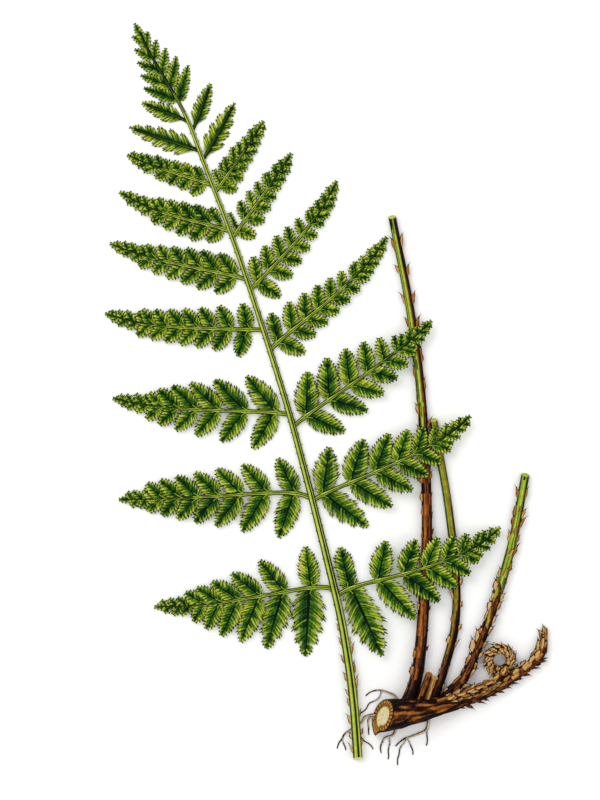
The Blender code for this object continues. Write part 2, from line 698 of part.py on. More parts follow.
def build_crozier(parts, loose, rootstock_cutter, materials):
    """The coiled young frond: its stalk fused to a tilted ring."""
    route = Route(CROZIER_ROUTE)
    count = round(route.length / STEM_STEP) + 3
    points = []
    radii = []
    for index in range(count):
        share = index / (count - 1)
        points.append(tuple(route.at(route.length * share)))
        radii.append(CROZIER_RADII[0] + (CROZIER_RADII[1] - CROZIER_RADII[0]) * share)
    made = tube("crozier", points, radii, 2, parts)
    bpy.ops.mesh.primitive_torus_add(
        major_radius=COIL_RING_RADIUS * MM, minor_radius=COIL_TUBE_RADIUS * MM,
        major_segments=20, minor_segments=10)
    ring = bpy.context.active_object
    ring.name = "crozier_ring"
    for owner in list(ring.users_collection):
        owner.objects.unlink(ring)
    loose.objects.link(ring)
    heading = math.radians(COIL_TILT_HEADING)
    tilt_axis = Vector((-math.sin(heading), math.cos(heading), 0.0))
    ring.rotation_mode = "AXIS_ANGLE"
    ring.rotation_axis_angle = (-math.radians(COIL_TILT), *tilt_axis)
    ring.location = Vector(COIL_CENTRE) * MM
    join_all(made, loose)
    boolean(made, "DIFFERENCE", cutter=rootstock_cutter)
    made.data.materials.append(materials["scaly"])


def build_roots(parts, loose, rootstock_cutter, materials):
    """Thin branching roots that come out of the rootstock and lie on the surface."""
    for name, (foot, routes) in ROOTS.items():
        base = None
        for number, plan in enumerate(routes):
            route = Route(plan)
            count = max(4, round(route.length / ROOT_STEP)) + 1
            thick = ROOT_RADII[0] if number == 0 else ROOT_RADII[0] * ROOT_BRANCH_THICKNESS
            points = []
            radii = []
            for index in range(count):
                share = index / (count - 1)
                spot = route.at(route.length * share)
                radius = thick + (ROOT_RADII[1] - thick) * share
                height = radius + ROOT_BRANCH_LIFT * number
                if number == 0:
                    height += (foot - radius) * (1.0 - smoothstep(0.0, ROOT_DROP, route.length * share))
                points.append((spot.x, spot.y, height))
                radii.append(radius)
            if number == 0:
                base = tube(name, points, radii, 0, parts)
            else:
                tube(f"{name}_{number}", points, radii, 0, loose)
        if loose.objects:
            join_all(base, loose)
        boolean(base, "DIFFERENCE", cutter=rootstock_cutter)
        base.data.materials.append(materials["root"])


def main():
    """Build every piece of the plant."""
    clear_scene()
    parts = bpy.data.collections.new(COLLECTION_NAME)
    loose = bpy.data.collections.new("loose_pieces")
    cutters = bpy.data.collections.new("cutters")
    for collection in (parts, loose, cutters):
        bpy.context.scene.collection.children.link(collection)
    materials = make_materials()
    Frond(parts, loose, materials).build()
    rootstock = build_rootstock("rootstock", 0.0, parts)
    rootstock.data.materials.append(materials["rootstock"])
    cutter = build_rootstock("rootstock_clearance", GAP, cutters)
    cutter.hide_render = True
    cutter.display_type = "WIRE"
    build_stems(parts, cutter, materials)
    build_crozier(parts, loose, cutter, materials)
    build_roots(parts, loose, cutter, materials)


main()
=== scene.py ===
"""The looks of the bare-rooted narrow buckler fern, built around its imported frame.

Every blade of the frond is grown again by the rule of the part's source, with lobes, bristle-tipped
teeth, veins and, on its underside, spore patches. The stalks, the rootstock and the roots get their
ridges, scales and cut faces. Lengths in the tables are millimetres and angles are degrees, in the
frame of the CAD model: the frond's tip points to +Y and the surface is z = 0.
"""
import math

import bpy
import numpy as np
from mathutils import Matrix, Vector


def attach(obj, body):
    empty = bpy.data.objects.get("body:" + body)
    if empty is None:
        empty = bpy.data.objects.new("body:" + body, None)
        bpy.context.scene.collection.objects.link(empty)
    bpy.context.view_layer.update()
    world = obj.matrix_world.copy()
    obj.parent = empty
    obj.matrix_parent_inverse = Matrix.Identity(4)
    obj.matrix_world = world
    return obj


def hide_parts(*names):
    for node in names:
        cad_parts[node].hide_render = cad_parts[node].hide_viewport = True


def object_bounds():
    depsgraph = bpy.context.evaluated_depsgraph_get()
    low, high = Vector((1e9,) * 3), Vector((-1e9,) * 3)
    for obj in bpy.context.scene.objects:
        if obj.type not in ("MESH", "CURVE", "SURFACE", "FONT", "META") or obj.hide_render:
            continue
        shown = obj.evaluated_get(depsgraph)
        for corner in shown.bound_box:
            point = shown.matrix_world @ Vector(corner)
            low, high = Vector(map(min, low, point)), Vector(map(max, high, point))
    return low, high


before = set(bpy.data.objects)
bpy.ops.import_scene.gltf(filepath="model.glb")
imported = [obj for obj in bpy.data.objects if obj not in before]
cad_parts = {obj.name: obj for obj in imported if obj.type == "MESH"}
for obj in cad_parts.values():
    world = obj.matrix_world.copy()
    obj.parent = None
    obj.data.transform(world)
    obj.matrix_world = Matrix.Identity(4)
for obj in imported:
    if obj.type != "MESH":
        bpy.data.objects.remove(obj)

CAD_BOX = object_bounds()
MM = 0.001
RNG = np.random.default_rng(11)

# Camera: it looks straight down, with the photograph's frame 330 by 440 mm on the surface
CAMERA_AIM = (-15.1, -3.6)
CAMERA_HEIGHT = 2444.0
CAMERA_LENS = 200.0
CAMERA_SENSOR = 36.0
CAMERA_REACH = 20000.0

# Studio, in metres and watts: each lamp's place, width and power
FLOOR_HALF = 3.0
DAYLIGHT = 0.87
LAMPS = {"key": ((-0.9, 0.9, 1.6), 1.2, 13.0), "fill": ((1.2, -0.6, 1.8), 1.6, 5.0)}

# The frond, as in the part's source
FROND_LENGTH = 427.0
STALK_END = 371.0
STALK_BASE_RADIUS = 2.6
STALK_TIP_RADIUS = 1.0
STALK_TAPER = 1.3
STALK_LIFT = 1.3
STALK_LIFT_SPAN = (34.0, 85.0)
STALK_ROUTE = [
    (16.8, -201.6), (14.4, -170.0), (10.7, -142.2), (4.7, -111.4), (-13.9, -37.1), (-26.5, 7.4),
    (-49.1, 76.7), (-67.7, 126.2), (-78.9, 154.6), (-98.3, 188.4), (-105.6, 204.9),
]
RIB_RADIUS_PER_LENGTH = 0.006
RIB_LEAST_ROOT_RADIUS = 0.4
RIB_TIP_RADIUS = 0.3
RIB_FIRST_TURN = 0.07
RIB_LAST_TURN = 3.0
RIB_START = 0.8
RIB_END = 3.0
TIP_BLADE_SETBACK = 1.5
TIP_BLADE_OUTLINE = (0.85, 2.5, 0.52)
LEAST_RELATIVE_WIDTH = 0.03
LEAST_HALF_WIDTH = 0.25
LEAFLET_ROOT_STAGGER = 0.9
LOWEST_BLADE = 0.75
LEAFLET_SLIMNESS = 0.34
LEAFLET_EXTRA_WIDTH = 3.5
RIGHT_UPPER_WIDTH = 0.53
BASAL_LEAFLET_LENGTH = 35.0
BASAL_LEAFLET_WIDTH = 0.47
LEAFLET_DROOP = 0.045
UPPER_CALMING = 0.5
LOWER_CALMING = 0.3
UPPER_LENGTH_POWER = 1.5
PINNA_ARCH = 0.022
LEAFLET_STALK_CLEARANCE = 0.8

# Each pinna's rib: side, distance of its foot along the stalk, length, headings above the
# horizontal at foot, middle and tip, number of leaflet pairs
PINNA_RIBS = [
    ("right", 91, 99, (43, 13, 45), 6), ("right", 145, 99, (36, 22, 44), 6),
    ("right", 187, 96, (46, 34, 45), 6), ("right", 231, 90, (50, 38, 60), 7),
    ("right", 266, 77, (45, 46, 70), 6), ("right", 296, 57, (59, 54, 58), 5),
    ("right", 323, 47.5, (53, 55, 60), 2), ("right", 342, 36, (56, 61, 62), 0),
    ("right", 359, 28, (62, 68, 73), 0),
    ("left", 95, 100, (22, -11, 2), 6), ("left", 146, 107, (38, -4, 0), 7),
    ("left", 194, 98, (14, 1, 15), 6), ("left", 243, 88, (0, 1, 21), 7),
    ("left", 272, 78, (19, 11, 24), 6), ("left", 300, 65, (24, 13, 38), 5),
    ("left", 327, 50, (22, 17, 27), 4), ("left", 347, 41, (30, 17, 22), 0),
    ("left", 364, 28, (42, 22, 20), 0),
]
# The same pinnae's blades: distances of the first and last leaflet pair from the foot, how much
# closer the pairs stand towards the tip, lengths of the first and last upper leaflet, lengths of
# the first, second and last lower leaflet, angles to the rib of the first and the later upper
# and lower leaflets, and the half width of the undivided tip blade
PINNA_BLADES = [
    ((8.8, 72.5), 0.32, (23.2, 11.7), (41, 29, 10.4), (82, 46), (87, 50), 7.4),
    ((6.6, 72.5), 0.32, (26.5, 10.5), (30, 26, 10.5), (55, 45), (64, 50), 7.0),
    ((9.4, 71.0), 0.32, (24.5, 8.5), (22.5, 21.5, 9.8), (51, 66), (61, 49), 6.4),
    ((6.5, 60.5), 0.10, (16.5, 7.6), (15.6, 12.9, 8.5), (62, 50), (67, 46), 6.4),
    ((5.5, 49.5), 0.10, (14.5, 7.4), (14.8, 12.7, 6.6), (53, 55), (80, 56), 6.2),
    ((4.8, 34.0), 0.10, (11.0, 8.2), (10.4, 10.2, 6.6), (58, 50), (77, 54), 6.4),
    ((4.8, 10.0), 0.0, (9.4, 8.8), (9.4, 9.2, 9.2), (58, 50), (77, 54), 8.0),
    ((1.6, 1.6), 0.0, (0, 0), (0, 0, 0), (50, 50), (50, 50), 6.2),
    ((1.4, 1.4), 0.0, (0, 0), (0, 0, 0), (50, 50), (50, 50), 4.8),
    ((13.0, 72.0), 0.32, (22.8, 12.7), (38, 32.5, 11.0), (88, 35), (81, 56), 7.0),
    ((9.9, 83.0), 0.32, (21.5, 12.0), (26.0, 25.0, 9.6), (56, 47), (79, 47), 6.8),
    ((7.7, 70.5), 0.40, (25.8, 10.4), (23.2, 21.0, 10.2), (46, 40), (65, 50), 6.4),
    ((8.6, 61.0), 0.10, (14.6, 10.2), (15.6, 14.2, 9.8), (78, 47), (75, 47), 6.4),
    ((6.6, 52.3), 0.10, (15.6, 8.8), (13.8, 13.8, 8.8), (40, 44), (56, 50), 6.0),
    ((3.6, 36.3), 0.10, (14.0, 10.0), (11.0, 12.4, 8.6), (38, 42), (57, 55), 6.2),
    ((4.6, 24.5), 0.10, (10.6, 7.6), (9.6, 8.6, 7.4), (36, 44), (64, 56), 6.6),
    ((1.6, 1.6), 0.0, (0, 0), (0, 0, 0), (50, 50), (50, 50), 6.4),
    ((1.4, 1.4), 0.0, (0, 0), (0, 0, 0), (50, 50), (50, 50), 5.2),
]

# The frond's tip: lobes on each side of its rib, and a last one along it
APEX_GAP = 0.3
APEX_PAIRS = 5
APEX_ROOTS = (6.0, 41.0)
APEX_RIGHT_LENGTHS = (20.5, 8.0)
APEX_LEFT_LENGTHS = (19.5, 8.6)
APEX_RIGHT_ANGLES = (45, 34)
APEX_LEFT_ANGLES = (42, 31)
APEX_LOBE_WIDTHS = (0.40, 0.54)
APEX_OUTLINE = (0.54, 0.62)
APEX_TIP_WIDTH = 6.4
APEX_TIP_OVERLAP = 2.0
APEX_RIB_RADIUS = 0.62
APEX_RIB_PALE_SHARE = 0.25
APEX_RIB_OVERLAP = 2.5
APEX_RIB_END = 6.0

# Where the frond lies over the cut stalks it rises to clear them: distances from the stalks in
# which it rises, the y up to which it does, and its height at a low and a high y
RISE_NEAR = 9.0
RISE_FAR = 38.0
RISE_FULL_Y = 50.0
RISE_TOP_Y = 62.0
RISE_HEIGHT_LOW_Y = (-95.0, 7.6)
RISE_HEIGHT_HIGH_Y = (45.0, 6.2)

# Finishes: the darker and the lighter tone as screen colours, size of the mottling in
# millimetres, roughness, and depth of the surface grain in millimetres
FINISHES = {
    # leaf_ink to leaf_pale are the blade's one green in steps from painted shade to painted highlight
    "leaf_ink": ("#030c05", "#08180a", 1.2, 0.60, 0.05),
    "leaf_deep": ("#07280a", "#0e3a0e", 1.2, 0.55, 0.06),
    "leaf_dark": ("#14420a", "#20560c", 1.2, 0.55, 0.06),
    "leaf_mid": ("#2c5a08", "#426a0e", 1.2, 0.52, 0.06),
    "leaf_fresh": ("#54760a", "#6c8a14", 1.2, 0.52, 0.06),
    "leaf_lime": ("#909e1c", "#adb630", 1.2, 0.52, 0.06),
    "leaf_pale": ("#b6b648", "#ccc870", 1.2, 0.55, 0.05),
    "tooth": ("#080604", "#1a120a", 0.8, 0.65, 0.03),
    "leaf_under": ("#7f9f4c", "#98b464", 1.6, 0.60, 0.05),
    "leaf_under_vein": ("#a3b878", "#b8ca8c", 1.6, 0.60, 0.05),
    "spores": ("#6e4526", "#8e5f36", 0.5, 0.80, 0.08),
    "spore_cover": ("#cdb89c", "#e2d3ba", 0.5, 0.70, 0.04),
    "stalk_pale": ("#a4b23a", "#bac454", 2.5, 0.45, 0.04),
    "stalk_lime": ("#7c9a1e", "#96ae2c", 2.5, 0.45, 0.04),
    "stalk_olive": ("#465618", "#5e6c20", 2.5, 0.48, 0.05),
    "stalk_ink": ("#0a0e05", "#161c09", 2.5, 0.50, 0.05),
    "olive": ("#746414", "#90801e", 2.5, 0.48, 0.06),
    "olive_pale": ("#948424", "#b09e38", 2.5, 0.48, 0.06),
    "brown_light": ("#8e4e1c", "#aa682a", 2.0, 0.52, 0.08),
    "brown": ("#62300f", "#7c4218", 2.0, 0.55, 0.10),
    "brown_deep": ("#2c1208", "#42200e", 2.0, 0.58, 0.10),
    "brown_ink": ("#0a0403", "#170a06", 2.0, 0.62, 0.10),
    "bark_orange": ("#824814", "#a46820", 2.0, 0.60, 0.12),
    "scale_tan": ("#b68a4c", "#d2aa6e", 1.0, 0.65, 0.06),
    "scale_ochre": ("#90602a", "#b07a38", 1.0, 0.65, 0.06),
    "scale_rose": ("#c0966e", "#d6b28c", 1.0, 0.65, 0.06),
    "scale_edge": ("#180b05", "#2e1b0c", 1.0, 0.70, 0.05),
    "cut_pale": ("#cebe8e", "#e2d6ac", 1.5, 0.70, 0.10),
    "cut_ring": ("#a2742e", "#bc8a40", 1.5, 0.70, 0.10),
    "root_pale": ("#b8a880", "#d4c6a4", 1.0, 0.70, 0.08),
    "root_line": ("#20150a", "#3a2816", 1.0, 0.75, 0.08),
    "floor": ("#fbfbfa", "#fefefd", 60.0, 0.85, 0.02),
}
SHEEN = 0.06
MOTTLING_DETAIL = 3.0
MOTTLING_RANGE = (0.35, 0.65)
ROUGHNESS_SPREAD = 0.08
GRAIN_FINENESS = 3.0
GRAIN_STRENGTH = 0.6
NAMES = list(FINISHES)
NUMBER = {name: index for index, name in enumerate(NAMES)}


def linear(code):
    """Linear colour of a screen colour such as #204060."""
    shown = [int(code[at:at + 2], 16) / 255.0 for at in (1, 3, 5)]
    return [c / 12.92 if c <= 0.04045 else ((c + 0.055) / 1.055) ** 2.4 for c in shown] + [1.0]


def make_material(name):
    """A mottled, slightly grained surface in two near tones."""
    darker, lighter, size, roughness, depth = FINISHES[name]
    material = bpy.data.materials.new(name)
    material.use_nodes = True
    tree = material.node_tree
    shader = tree.nodes["Principled BSDF"]
    shader.inputs["Metallic"].default_value = 0.0
    shader.inputs["Specular IOR Level"].default_value = SHEEN
    place = tree.nodes.new("ShaderNodeTexCoord")
    blotches = tree.nodes.new("ShaderNodeTexNoise")
    blotches.inputs["Scale"].default_value = 1.0 / (size * MM)
    blotches.inputs["Detail"].default_value = MOTTLING_DETAIL
    contrast = tree.nodes.new("ShaderNodeMapRange")
    contrast.inputs["From Min"].default_value = MOTTLING_RANGE[0]
    contrast.inputs["From Max"].default_value = MOTTLING_RANGE[1]
    tones = tree.nodes.new("ShaderNodeMix")
    tones.data_type = "RGBA"
    tones.inputs["A"].default_value = linear(darker)
    tones.inputs["B"].default_value = linear(lighter)
    sheen = tree.nodes.new("ShaderNodeMapRange")
    sheen.inputs["To Min"].default_value = roughness - ROUGHNESS_SPREAD
    sheen.inputs["To Max"].default_value = roughness + ROUGHNESS_SPREAD
    grain = tree.nodes.new("ShaderNodeTexNoise")
    grain.inputs["Scale"].default_value = GRAIN_FINENESS / (size * MM)
    bump = tree.nodes.new("ShaderNodeBump")
    bump.inputs["Strength"].default_value = GRAIN_STRENGTH
    bump.inputs["Distance"].default_value = depth * MM
    for start, end in (
        (place.outputs["Object"], blotches.inputs["Vector"]),
        (place.outputs["Object"], grain.inputs["Vector"]),
        (blotches.outputs["Fac"], contrast.inputs["Value"]),
        (contrast.outputs["Result"], tones.inputs["Factor"]),
        (tones.outputs["Result"], shader.inputs["Base Color"]),
        (grain.outputs["Fac"], sheen.inputs["Value"]),
        (sheen.outputs["Result"], shader.inputs["Roughness"]),
        (grain.outputs["Fac"], bump.inputs["Height"]),
        (bump.outputs["Normal"], shader.inputs["Normal"]),
    ):
        tree.links.new(start, end)
    material.diffuse_color = linear(lighter)
    return material


def smoothstep(low, high, value):
    """Ease from 0 at low to 1 at high, for numbers or arrays."""
    share = np.clip((value - low) / (high - low), 0.0, 1.0)
    return share * share * (3.0 - 2.0 * share)


def mix(pair, share):
    """The number between a pair of numbers at a share of the way."""
    return pair[0] + (pair[1] - pair[0]) * share


class Route:
    """A smooth curve through a few points, read by distance along it."""

    def __init__(self, points, fine=10):
        points = np.array([tuple(point) + (0.0,) * (3 - len(point)) for point in points], float)
        padded = np.vstack([2 * points[0] - points[1], points, 2 * points[-1] - points[-2]])
        before, start, end, after = (
            item[:, None, :] for item in (padded[:-3], padded[1:-2], padded[2:-1], padded[3:]))
        share = (np.arange(fine) / fine)[None, :, None]
        dots = 0.5 * (
            2.0 * start
            + (end - before) * share
            + (2.0 * before - 5.0 * start + 4.0 * end - after) * share ** 2
            + (3.0 * start - before - 3.0 * end + after) * share ** 3
        )
        self.dots = np.vstack([dots.reshape(-1, 3), points[-1:]])
        steps = np.linalg.norm(np.diff(self.dots, axis=0), axis=1)
        self.marks = np.concatenate([[0.0], np.cumsum(steps)])
        self.length = float(self.marks[-1])

    def at(self, distance):
        """The points this far along, straight on past either end."""
        distance = np.asarray(distance, float)
        index = np.clip(np.searchsorted(self.marks, distance), 1, len(self.marks) - 1)
        gap = self.marks[index] - self.marks[index - 1]
        share = (distance - self.marks[index - 1]) / gap
        return self.dots[index - 1] + (self.dots[index] - self.dots[index - 1]) * share[..., None]

    def heading(self, distance):
        """Direction in plan, in radians from +X."""
        ahead = self.at(np.asarray(distance) + 0.5) - self.at(np.asarray(distance) - 0.5)
        return np.arctan2(ahead[..., 1], ahead[..., 0])

    def plan_distance(self, x, y):
        """How far points in plan are from the curve."""
        x, y = np.broadcast_arrays(np.asarray(x, float), np.asarray(y, float))
        near = np.full(x.shape, np.inf)
        for dot in self.dots:
            near = np.minimum(near, np.hypot(dot[0] - x, dot[1] - y))
        return near


SMOOTH_ANGLE = math.radians(50.0)


class Shape:
    """A mesh gathered part by part, in millimetres, with the number of a finish for each face."""

    def __init__(self):
        self.points = []
        self.faces = []
        self.finishes = []
        self.count = 0

    def add(self, points, faces, finishes):
        """Points, faces of four corners (equal neighbours make a triangle), and their finishes."""
        points = np.asarray(points, float).reshape(-1, 3)
        faces = np.asarray(faces, int).reshape(-1, 4)
        self.points.append(points)
        self.faces.append(faces + self.count)
        self.finishes.append(np.asarray(finishes, int).reshape(-1))
        self.count += len(points)

    def build(self, name, slot, *nodes):
        """The object, riding on the plant and standing for its CAD nodes."""
        points = np.clip(np.vstack(self.points) * MM, *(np.array(corner) for corner in CAD_BOX))
        faces = np.vstack(self.faces)
        finishes = np.concatenate(self.finishes)
        keep = faces != np.roll(faces, 1, axis=1)
        whole = keep.sum(axis=1) >= 3
        faces, keep, finishes = faces[whole], keep[whole], finishes[whole]
        sides = keep.sum(axis=1)
        mesh = bpy.data.meshes.new(name)
        mesh.vertices.add(len(points))
        mesh.vertices.foreach_set("co", points.ravel())
        mesh.loops.add(int(sides.sum()))
        mesh.loops.foreach_set("vertex_index", faces[keep].astype(np.int32))
        mesh.polygons.add(len(faces))
        mesh.polygons.foreach_set("loop_start", np.concatenate([[0], np.cumsum(sides)[:-1]]).astype(np.int32))
        used = np.unique(finishes)
        for number in used:
            mesh.materials.append(MATERIALS[NAMES[number]])
        mesh.polygons.foreach_set("material_index", np.searchsorted(used, finishes).astype(np.int32))
        mesh.update(calc_edges=True)
        mesh.validate()
        mesh.shade_smooth()
        mesh.set_sharp_from_angle(angle=SMOOTH_ANGLE)
        thing = bpy.data.objects.new(name, mesh)
        bpy.context.scene.collection.objects.link(thing)
        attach(thing, "root")
        if nodes:
            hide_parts(*nodes)


def grid(index, turned=False):
    """Faces of a grid of point numbers, facing the other way if turned."""
    faces = np.stack([index[:-1, :-1], index[1:, :-1], index[1:, 1:], index[:-1, 1:]], axis=-1)
    if turned:
        faces = faces[..., ::-1]
    return faces.reshape(-1, 4)


def closed_rows(rows, columns):
    """Point numbers of rings round a stem, with the first column repeated at the end."""
    index = np.arange(rows * columns).reshape(rows, columns)
    return np.concatenate([index, index[:, :1]], axis=1)


def fan(ring, centre, turned=False):
    """Faces from a ring of point numbers, its first repeated, to a centre point."""
    middle = np.full(len(ring) - 1, centre)
    faces = np.stack([middle, ring[:-1], ring[1:], middle], axis=1)
    return faces[:, ::-1] if turned else faces


def frames(points):
    """Unit vectors along a path, to its right and up from it."""
    ahead = np.gradient(points, axis=0)
    ahead /= np.linalg.norm(ahead, axis=1)[:, None]
    right = np.cross(ahead, (0.0, 0.0, 1.0))
    right /= np.linalg.norm(right, axis=1)[:, None]
    return ahead, right, np.cross(right, ahead)


def sweep(shape, path, section, finishes, caps=("brown_ink", "brown_ink"), slants=(0.0, 0.0)):
    """A closed solid from a section's points (right, up) at each place of a path.

    A slant cuts an end obliquely, so that its face turns up: it is the setback of the top over
    the height of the section.
    """
    rows, columns = section.shape[:2]
    ahead, right, up = frames(path)
    points = path[:, None, :] + right[:, None, :] * section[..., :1] + up[:, None, :] * section[..., 1:]
    for row, slant, sign in ((0, slants[0], 1.0), (rows - 1, slants[1], -1.0)):
        setback = (section[row, :, 1:] - section[row, :, 1].min()) * slant * sign
        points[row] += ahead[row] * setback
    turn = section[0]
    onward = np.roll(turn, -1, axis=0)
    clockwise = np.sum(turn[:, 0] * onward[:, 1] - onward[:, 0] * turn[:, 1]) < 0.0
    index = closed_rows(rows, columns)
    faces = [grid(index, clockwise)]
    numbers = [np.broadcast_to(finishes, (rows - 1, columns)).ravel()]
    for number, (row, name, flip) in enumerate(((0, caps[0], clockwise), (rows - 1, caps[1], not clockwise))):
        faces.append(fan(index[row], rows * columns + number, flip))
        numbers.append(np.full(columns, NUMBER[name]))
    centres = [points[0].mean(axis=0), points[-1].mean(axis=0)]
    shape.add(np.vstack([points.reshape(-1, 3), centres]), np.vstack(faces), np.concatenate(numbers))


def round_section(radius, columns, relief=0.0):
    """Sections of a stem of changing radius, from its right side over its top, and the angles
    of its faces."""
    angle = np.linspace(0.0, 2.0 * np.pi, columns, endpoint=False)
    wide = np.asarray(radius)[:, None] * (1.0 + relief)
    return np.stack([wide * np.cos(angle), wide * np.sin(angle)], axis=-1), angle + np.pi / columns


def streaks(rows, columns, waves, drift, seed):
    """Lengthwise streaks round a stem, about -1 to 1, that wander slowly along it."""
    draw = np.random.default_rng(seed)
    angle = np.linspace(0.0, 2.0 * np.pi, columns, endpoint=False)[None, :]
    along = np.linspace(0.0, 1.0, rows)[:, None]
    value = np.zeros((rows, columns))
    for wave in waves:
        size = draw.uniform(0.5, 1.0)
        swing = size * np.sin(2.0 * np.pi * (along * draw.uniform(0.5, 2.0) + draw.random()))
        value += draw.uniform(0.6, 1.0) * np.sin(wave * angle + 6.3 * draw.random() + drift * swing)
    return value / len(waves) * 1.4


def bands(across, limits):
    """Finish numbers by place across a stem, -1 at its left edge and 1 at its right edge."""
    borders = np.array([limit for limit, _ in limits[:-1]])
    numbers = np.array([NUMBER[name] for _, name in limits])
    return numbers[np.searchsorted(borders, across)]


def stalk_radius(distance):
    """Radius of the frond's stalk at a distance from its cut end."""
    share = np.clip(1.0 - distance / FROND_LENGTH, 0.0, None)
    return STALK_TIP_RADIUS + (STALK_BASE_RADIUS - STALK_TIP_RADIUS) * share ** STALK_TAPER


def stalk_height(distance):
    """Height of the stalk's axis."""
    return stalk_radius(distance) + STALK_LIFT * (1.0 - smoothstep(*STALK_LIFT_SPAN, distance))


def leaflet_outline(share, outline):
    """Relative half width of an ovate leaflet."""
    skew, fullness = outline
    inside = np.clip(share, 0.0, 1.0)
    wide = np.clip(np.sin(np.pi * inside ** skew), 0.0, None) ** fullness
    return np.maximum(LEAST_RELATIVE_WIDTH, wide)


def tip_outline(share):
    """Relative half width of the lobed end of a pinna."""
    start, widening, taper = TIP_BLADE_OUTLINE
    share = np.clip(share, 0.0, 1.0)
    wide = np.minimum(1.0, start + widening * share) * (1.0 - share) ** taper
    return np.maximum(LEAST_RELATIVE_WIDTH, wide)


def leaflet_width(length, right_upper):
    """Width of a leaflet as a share of its length."""
    if right_upper:
        return RIGHT_UPPER_WIDTH
    if length > BASAL_LEAFLET_LENGTH:
        return BASAL_LEAFLET_WIDTH
    return LEAFLET_SLIMNESS + LEAFLET_EXTRA_WIDTH / length


# The blade of a leaflet: spacing of its teeth, and the places in a tooth's stretch of the edge
# with how deep the edge is notched there and how much lighter the blade is painted there, as painted
# shade in the notches and a painted highlight on the tooth
TOOTH_PITCH = 1.6
TOOTH_PHASES = np.array([0.0, 0.20, 0.38, 0.56, 0.76, 0.90])
TOOTH_NOTCH = np.array([0.15, 0.09, 0.03, 0.0, 0.0, 0.07])
TOOTH_SHADE_AND_HIGHLIGHT = np.array([-0.55, -0.16, 0.16, 0.16, 0.02, -0.42])
TIP_PHASES = (3, 4)
TOOTH_CROWDING = 1.08
BRISTLE = (0.35, 0.75)
NOTCH_SPREAD = (0.8, 1.2)
NOTCH_TURN = 0.9
NOTCH_LEAST = 0.1
NOTCH_POWERS = (0.2, 1.5)
# Rows from midrib to edge, above and below, and the veins' angle to the midrib
ROWS = np.array([0.0, 0.06, 0.30, 0.52, 0.70, 0.84, 1.0])
UNDER_ROWS = np.array([0.0, 0.5, 1.0])
VEIN_ANGLE = math.radians(52.0)
VEIN_LEAST_FOOT = 0.3
VEIN_ONWARD = 1.2
VEIN_OUTWARD = 0.9
# Relief of the blade over its middle plane
MIDRIB_ROW = 0.05
BLADE_TOP = 0.12
MIDRIB_RISE = 0.20
LOBE_DOME = 0.26
EDGE_DROP = 0.36
NOTCH_GROOVE = 0.10
NOTCH_GROOVE_START = 0.2
BLADE_UNDER = -0.26
MIDRIB_UNDER = 0.16
EDGE_UNDER = 0.02
# Tones of the blade from dark to light, from painted shade to painted highlight: on its right and its
# left side, one painted darker than the other, how they rise to a painted highlight at the edge and
# fall to painted shade at the midrib and between lobes, rise as a painted highlight along the veins
# of lobes, and how much they vary
TONES = np.array([NUMBER[name] for name in (
    "leaf_ink", "leaf_deep", "leaf_dark", "leaf_mid", "leaf_fresh", "leaf_lime", "leaf_pale")])
TONE_LIMITS = np.array([0.10, 0.24, 0.38, 0.52, 0.66, 0.94])
LIT_AND_SHADED_SIDE_TONES = (0.35, 0.46)
EDGE_HIGHLIGHT = 0.36
EDGE_HIGHLIGHT_ROWS = (0.28, 0.88)
MIDRIB_SHADE = -0.14
MIDRIB_SHADE_ROWS = (0.08, 0.42)
LOBE_GAP_SHADE = -0.45
LOBE_GAP_START = 0.12
LOBE_VEIN_END = 0.8
LOBE_VEIN_HIGHLIGHT = (0.10, 0.28)
TONE_SPREAD = 0.09
BLADE_TONE_SPREAD = 0.04
STROKE_STRENGTH = (0.3, 1.2)
STROKE_START = (0.0, 0.5)
STROKE_FADE = 0.3
# Shares of the teeth whose dark tip reaches further
DARK_BEFORE_TIP = 0.7
DARK_IN_NOTCH = 0.8
DARK_SECOND_ROW = 0.22

# Short leaflets are blunt with shallow lobes, long ones are pointed with deep lobes: the two
# lengths, and the outline, the spacing of the lobes and their depth at each
SHORT_LEAFLET = 12.0
LONG_LEAFLET = 36.0
SHORT_OUTLINE = (0.80, 0.50)
LONG_OUTLINE = (0.72, 0.66)
SHORT_LOBES = (3.6, 0.10)
LONG_LOBES = (6.4, 0.58)
LOBE_SKEW = 1.2
LOBE_SHARPNESS = 2.2
LEAFLET_SPREAD = 1.12

# Lobes that sit on a rib with a broad foot, at the ends of the pinnae and of the frond
SESSILE_OUTLINE = (0.56, 0.52)
FIRST_LOBE = 0.4
LOBE_SPACING = 6.2
LOBE_CROWDING = 0.34
LOBE_LEAN = 43.0
LOBE_LEAN_SPREAD = 5.0
LOBE_WIDTH = 1.0
LOBE_WIDEST = 1.15
LOBE_STAGGER = 0.4
LOBE_GAP_SPREAD = (0.92, 1.08)
LOBE_REACH_SPREAD = (0.94, 1.08)
LAST_LOBE = 6.0
LAST_LOBE_WIDTH = 0.60

# A rib: its narrow wings and their edges of painted shade, the line of painted shade along its groove,
# half as wide as this, and the share of the rib that is paler than the leaflets
RIB_WING = (0.75, 0.56, 0.25)
RIB_WING_FLARE = 2.2
RIB_EDGE = (0.52, 0.05)
RIB_EDGE_LIFT = 0.26
RIB_CREST = 0.1
RIB_LEFT_CREST = 0.62
RIB_GROOVE = 0.5
RIB_RIGHT_CREST = 0.6
RIB_UNDER_WIDTH = 0.6
RIB_UNDER_EDGE = -0.5
RIB_UNDER_MIDDLE = -0.7
RIB_WIDEST_LINE = 0.4
RIB_LINE = 0.22
RIB_PALE_SHARE = 0.62
RIB_STEP = 1.2
# The finishes across a rib's top, in its pale share and beyond: painted shade on its edges and in its
# groove, its left slope lighter than its right as painted light; and how many faces it has below
RIB_FINISHES = ("leaf_ink", "stalk_pale", "leaf_ink", "leaf_ink", "stalk_lime", "leaf_ink")
RIB_FAR_FINISHES = ("leaf_ink", "leaf_fresh", "leaf_ink", "leaf_ink", "leaf_dark", "leaf_ink")
RIB_UNDER_FACES = 4

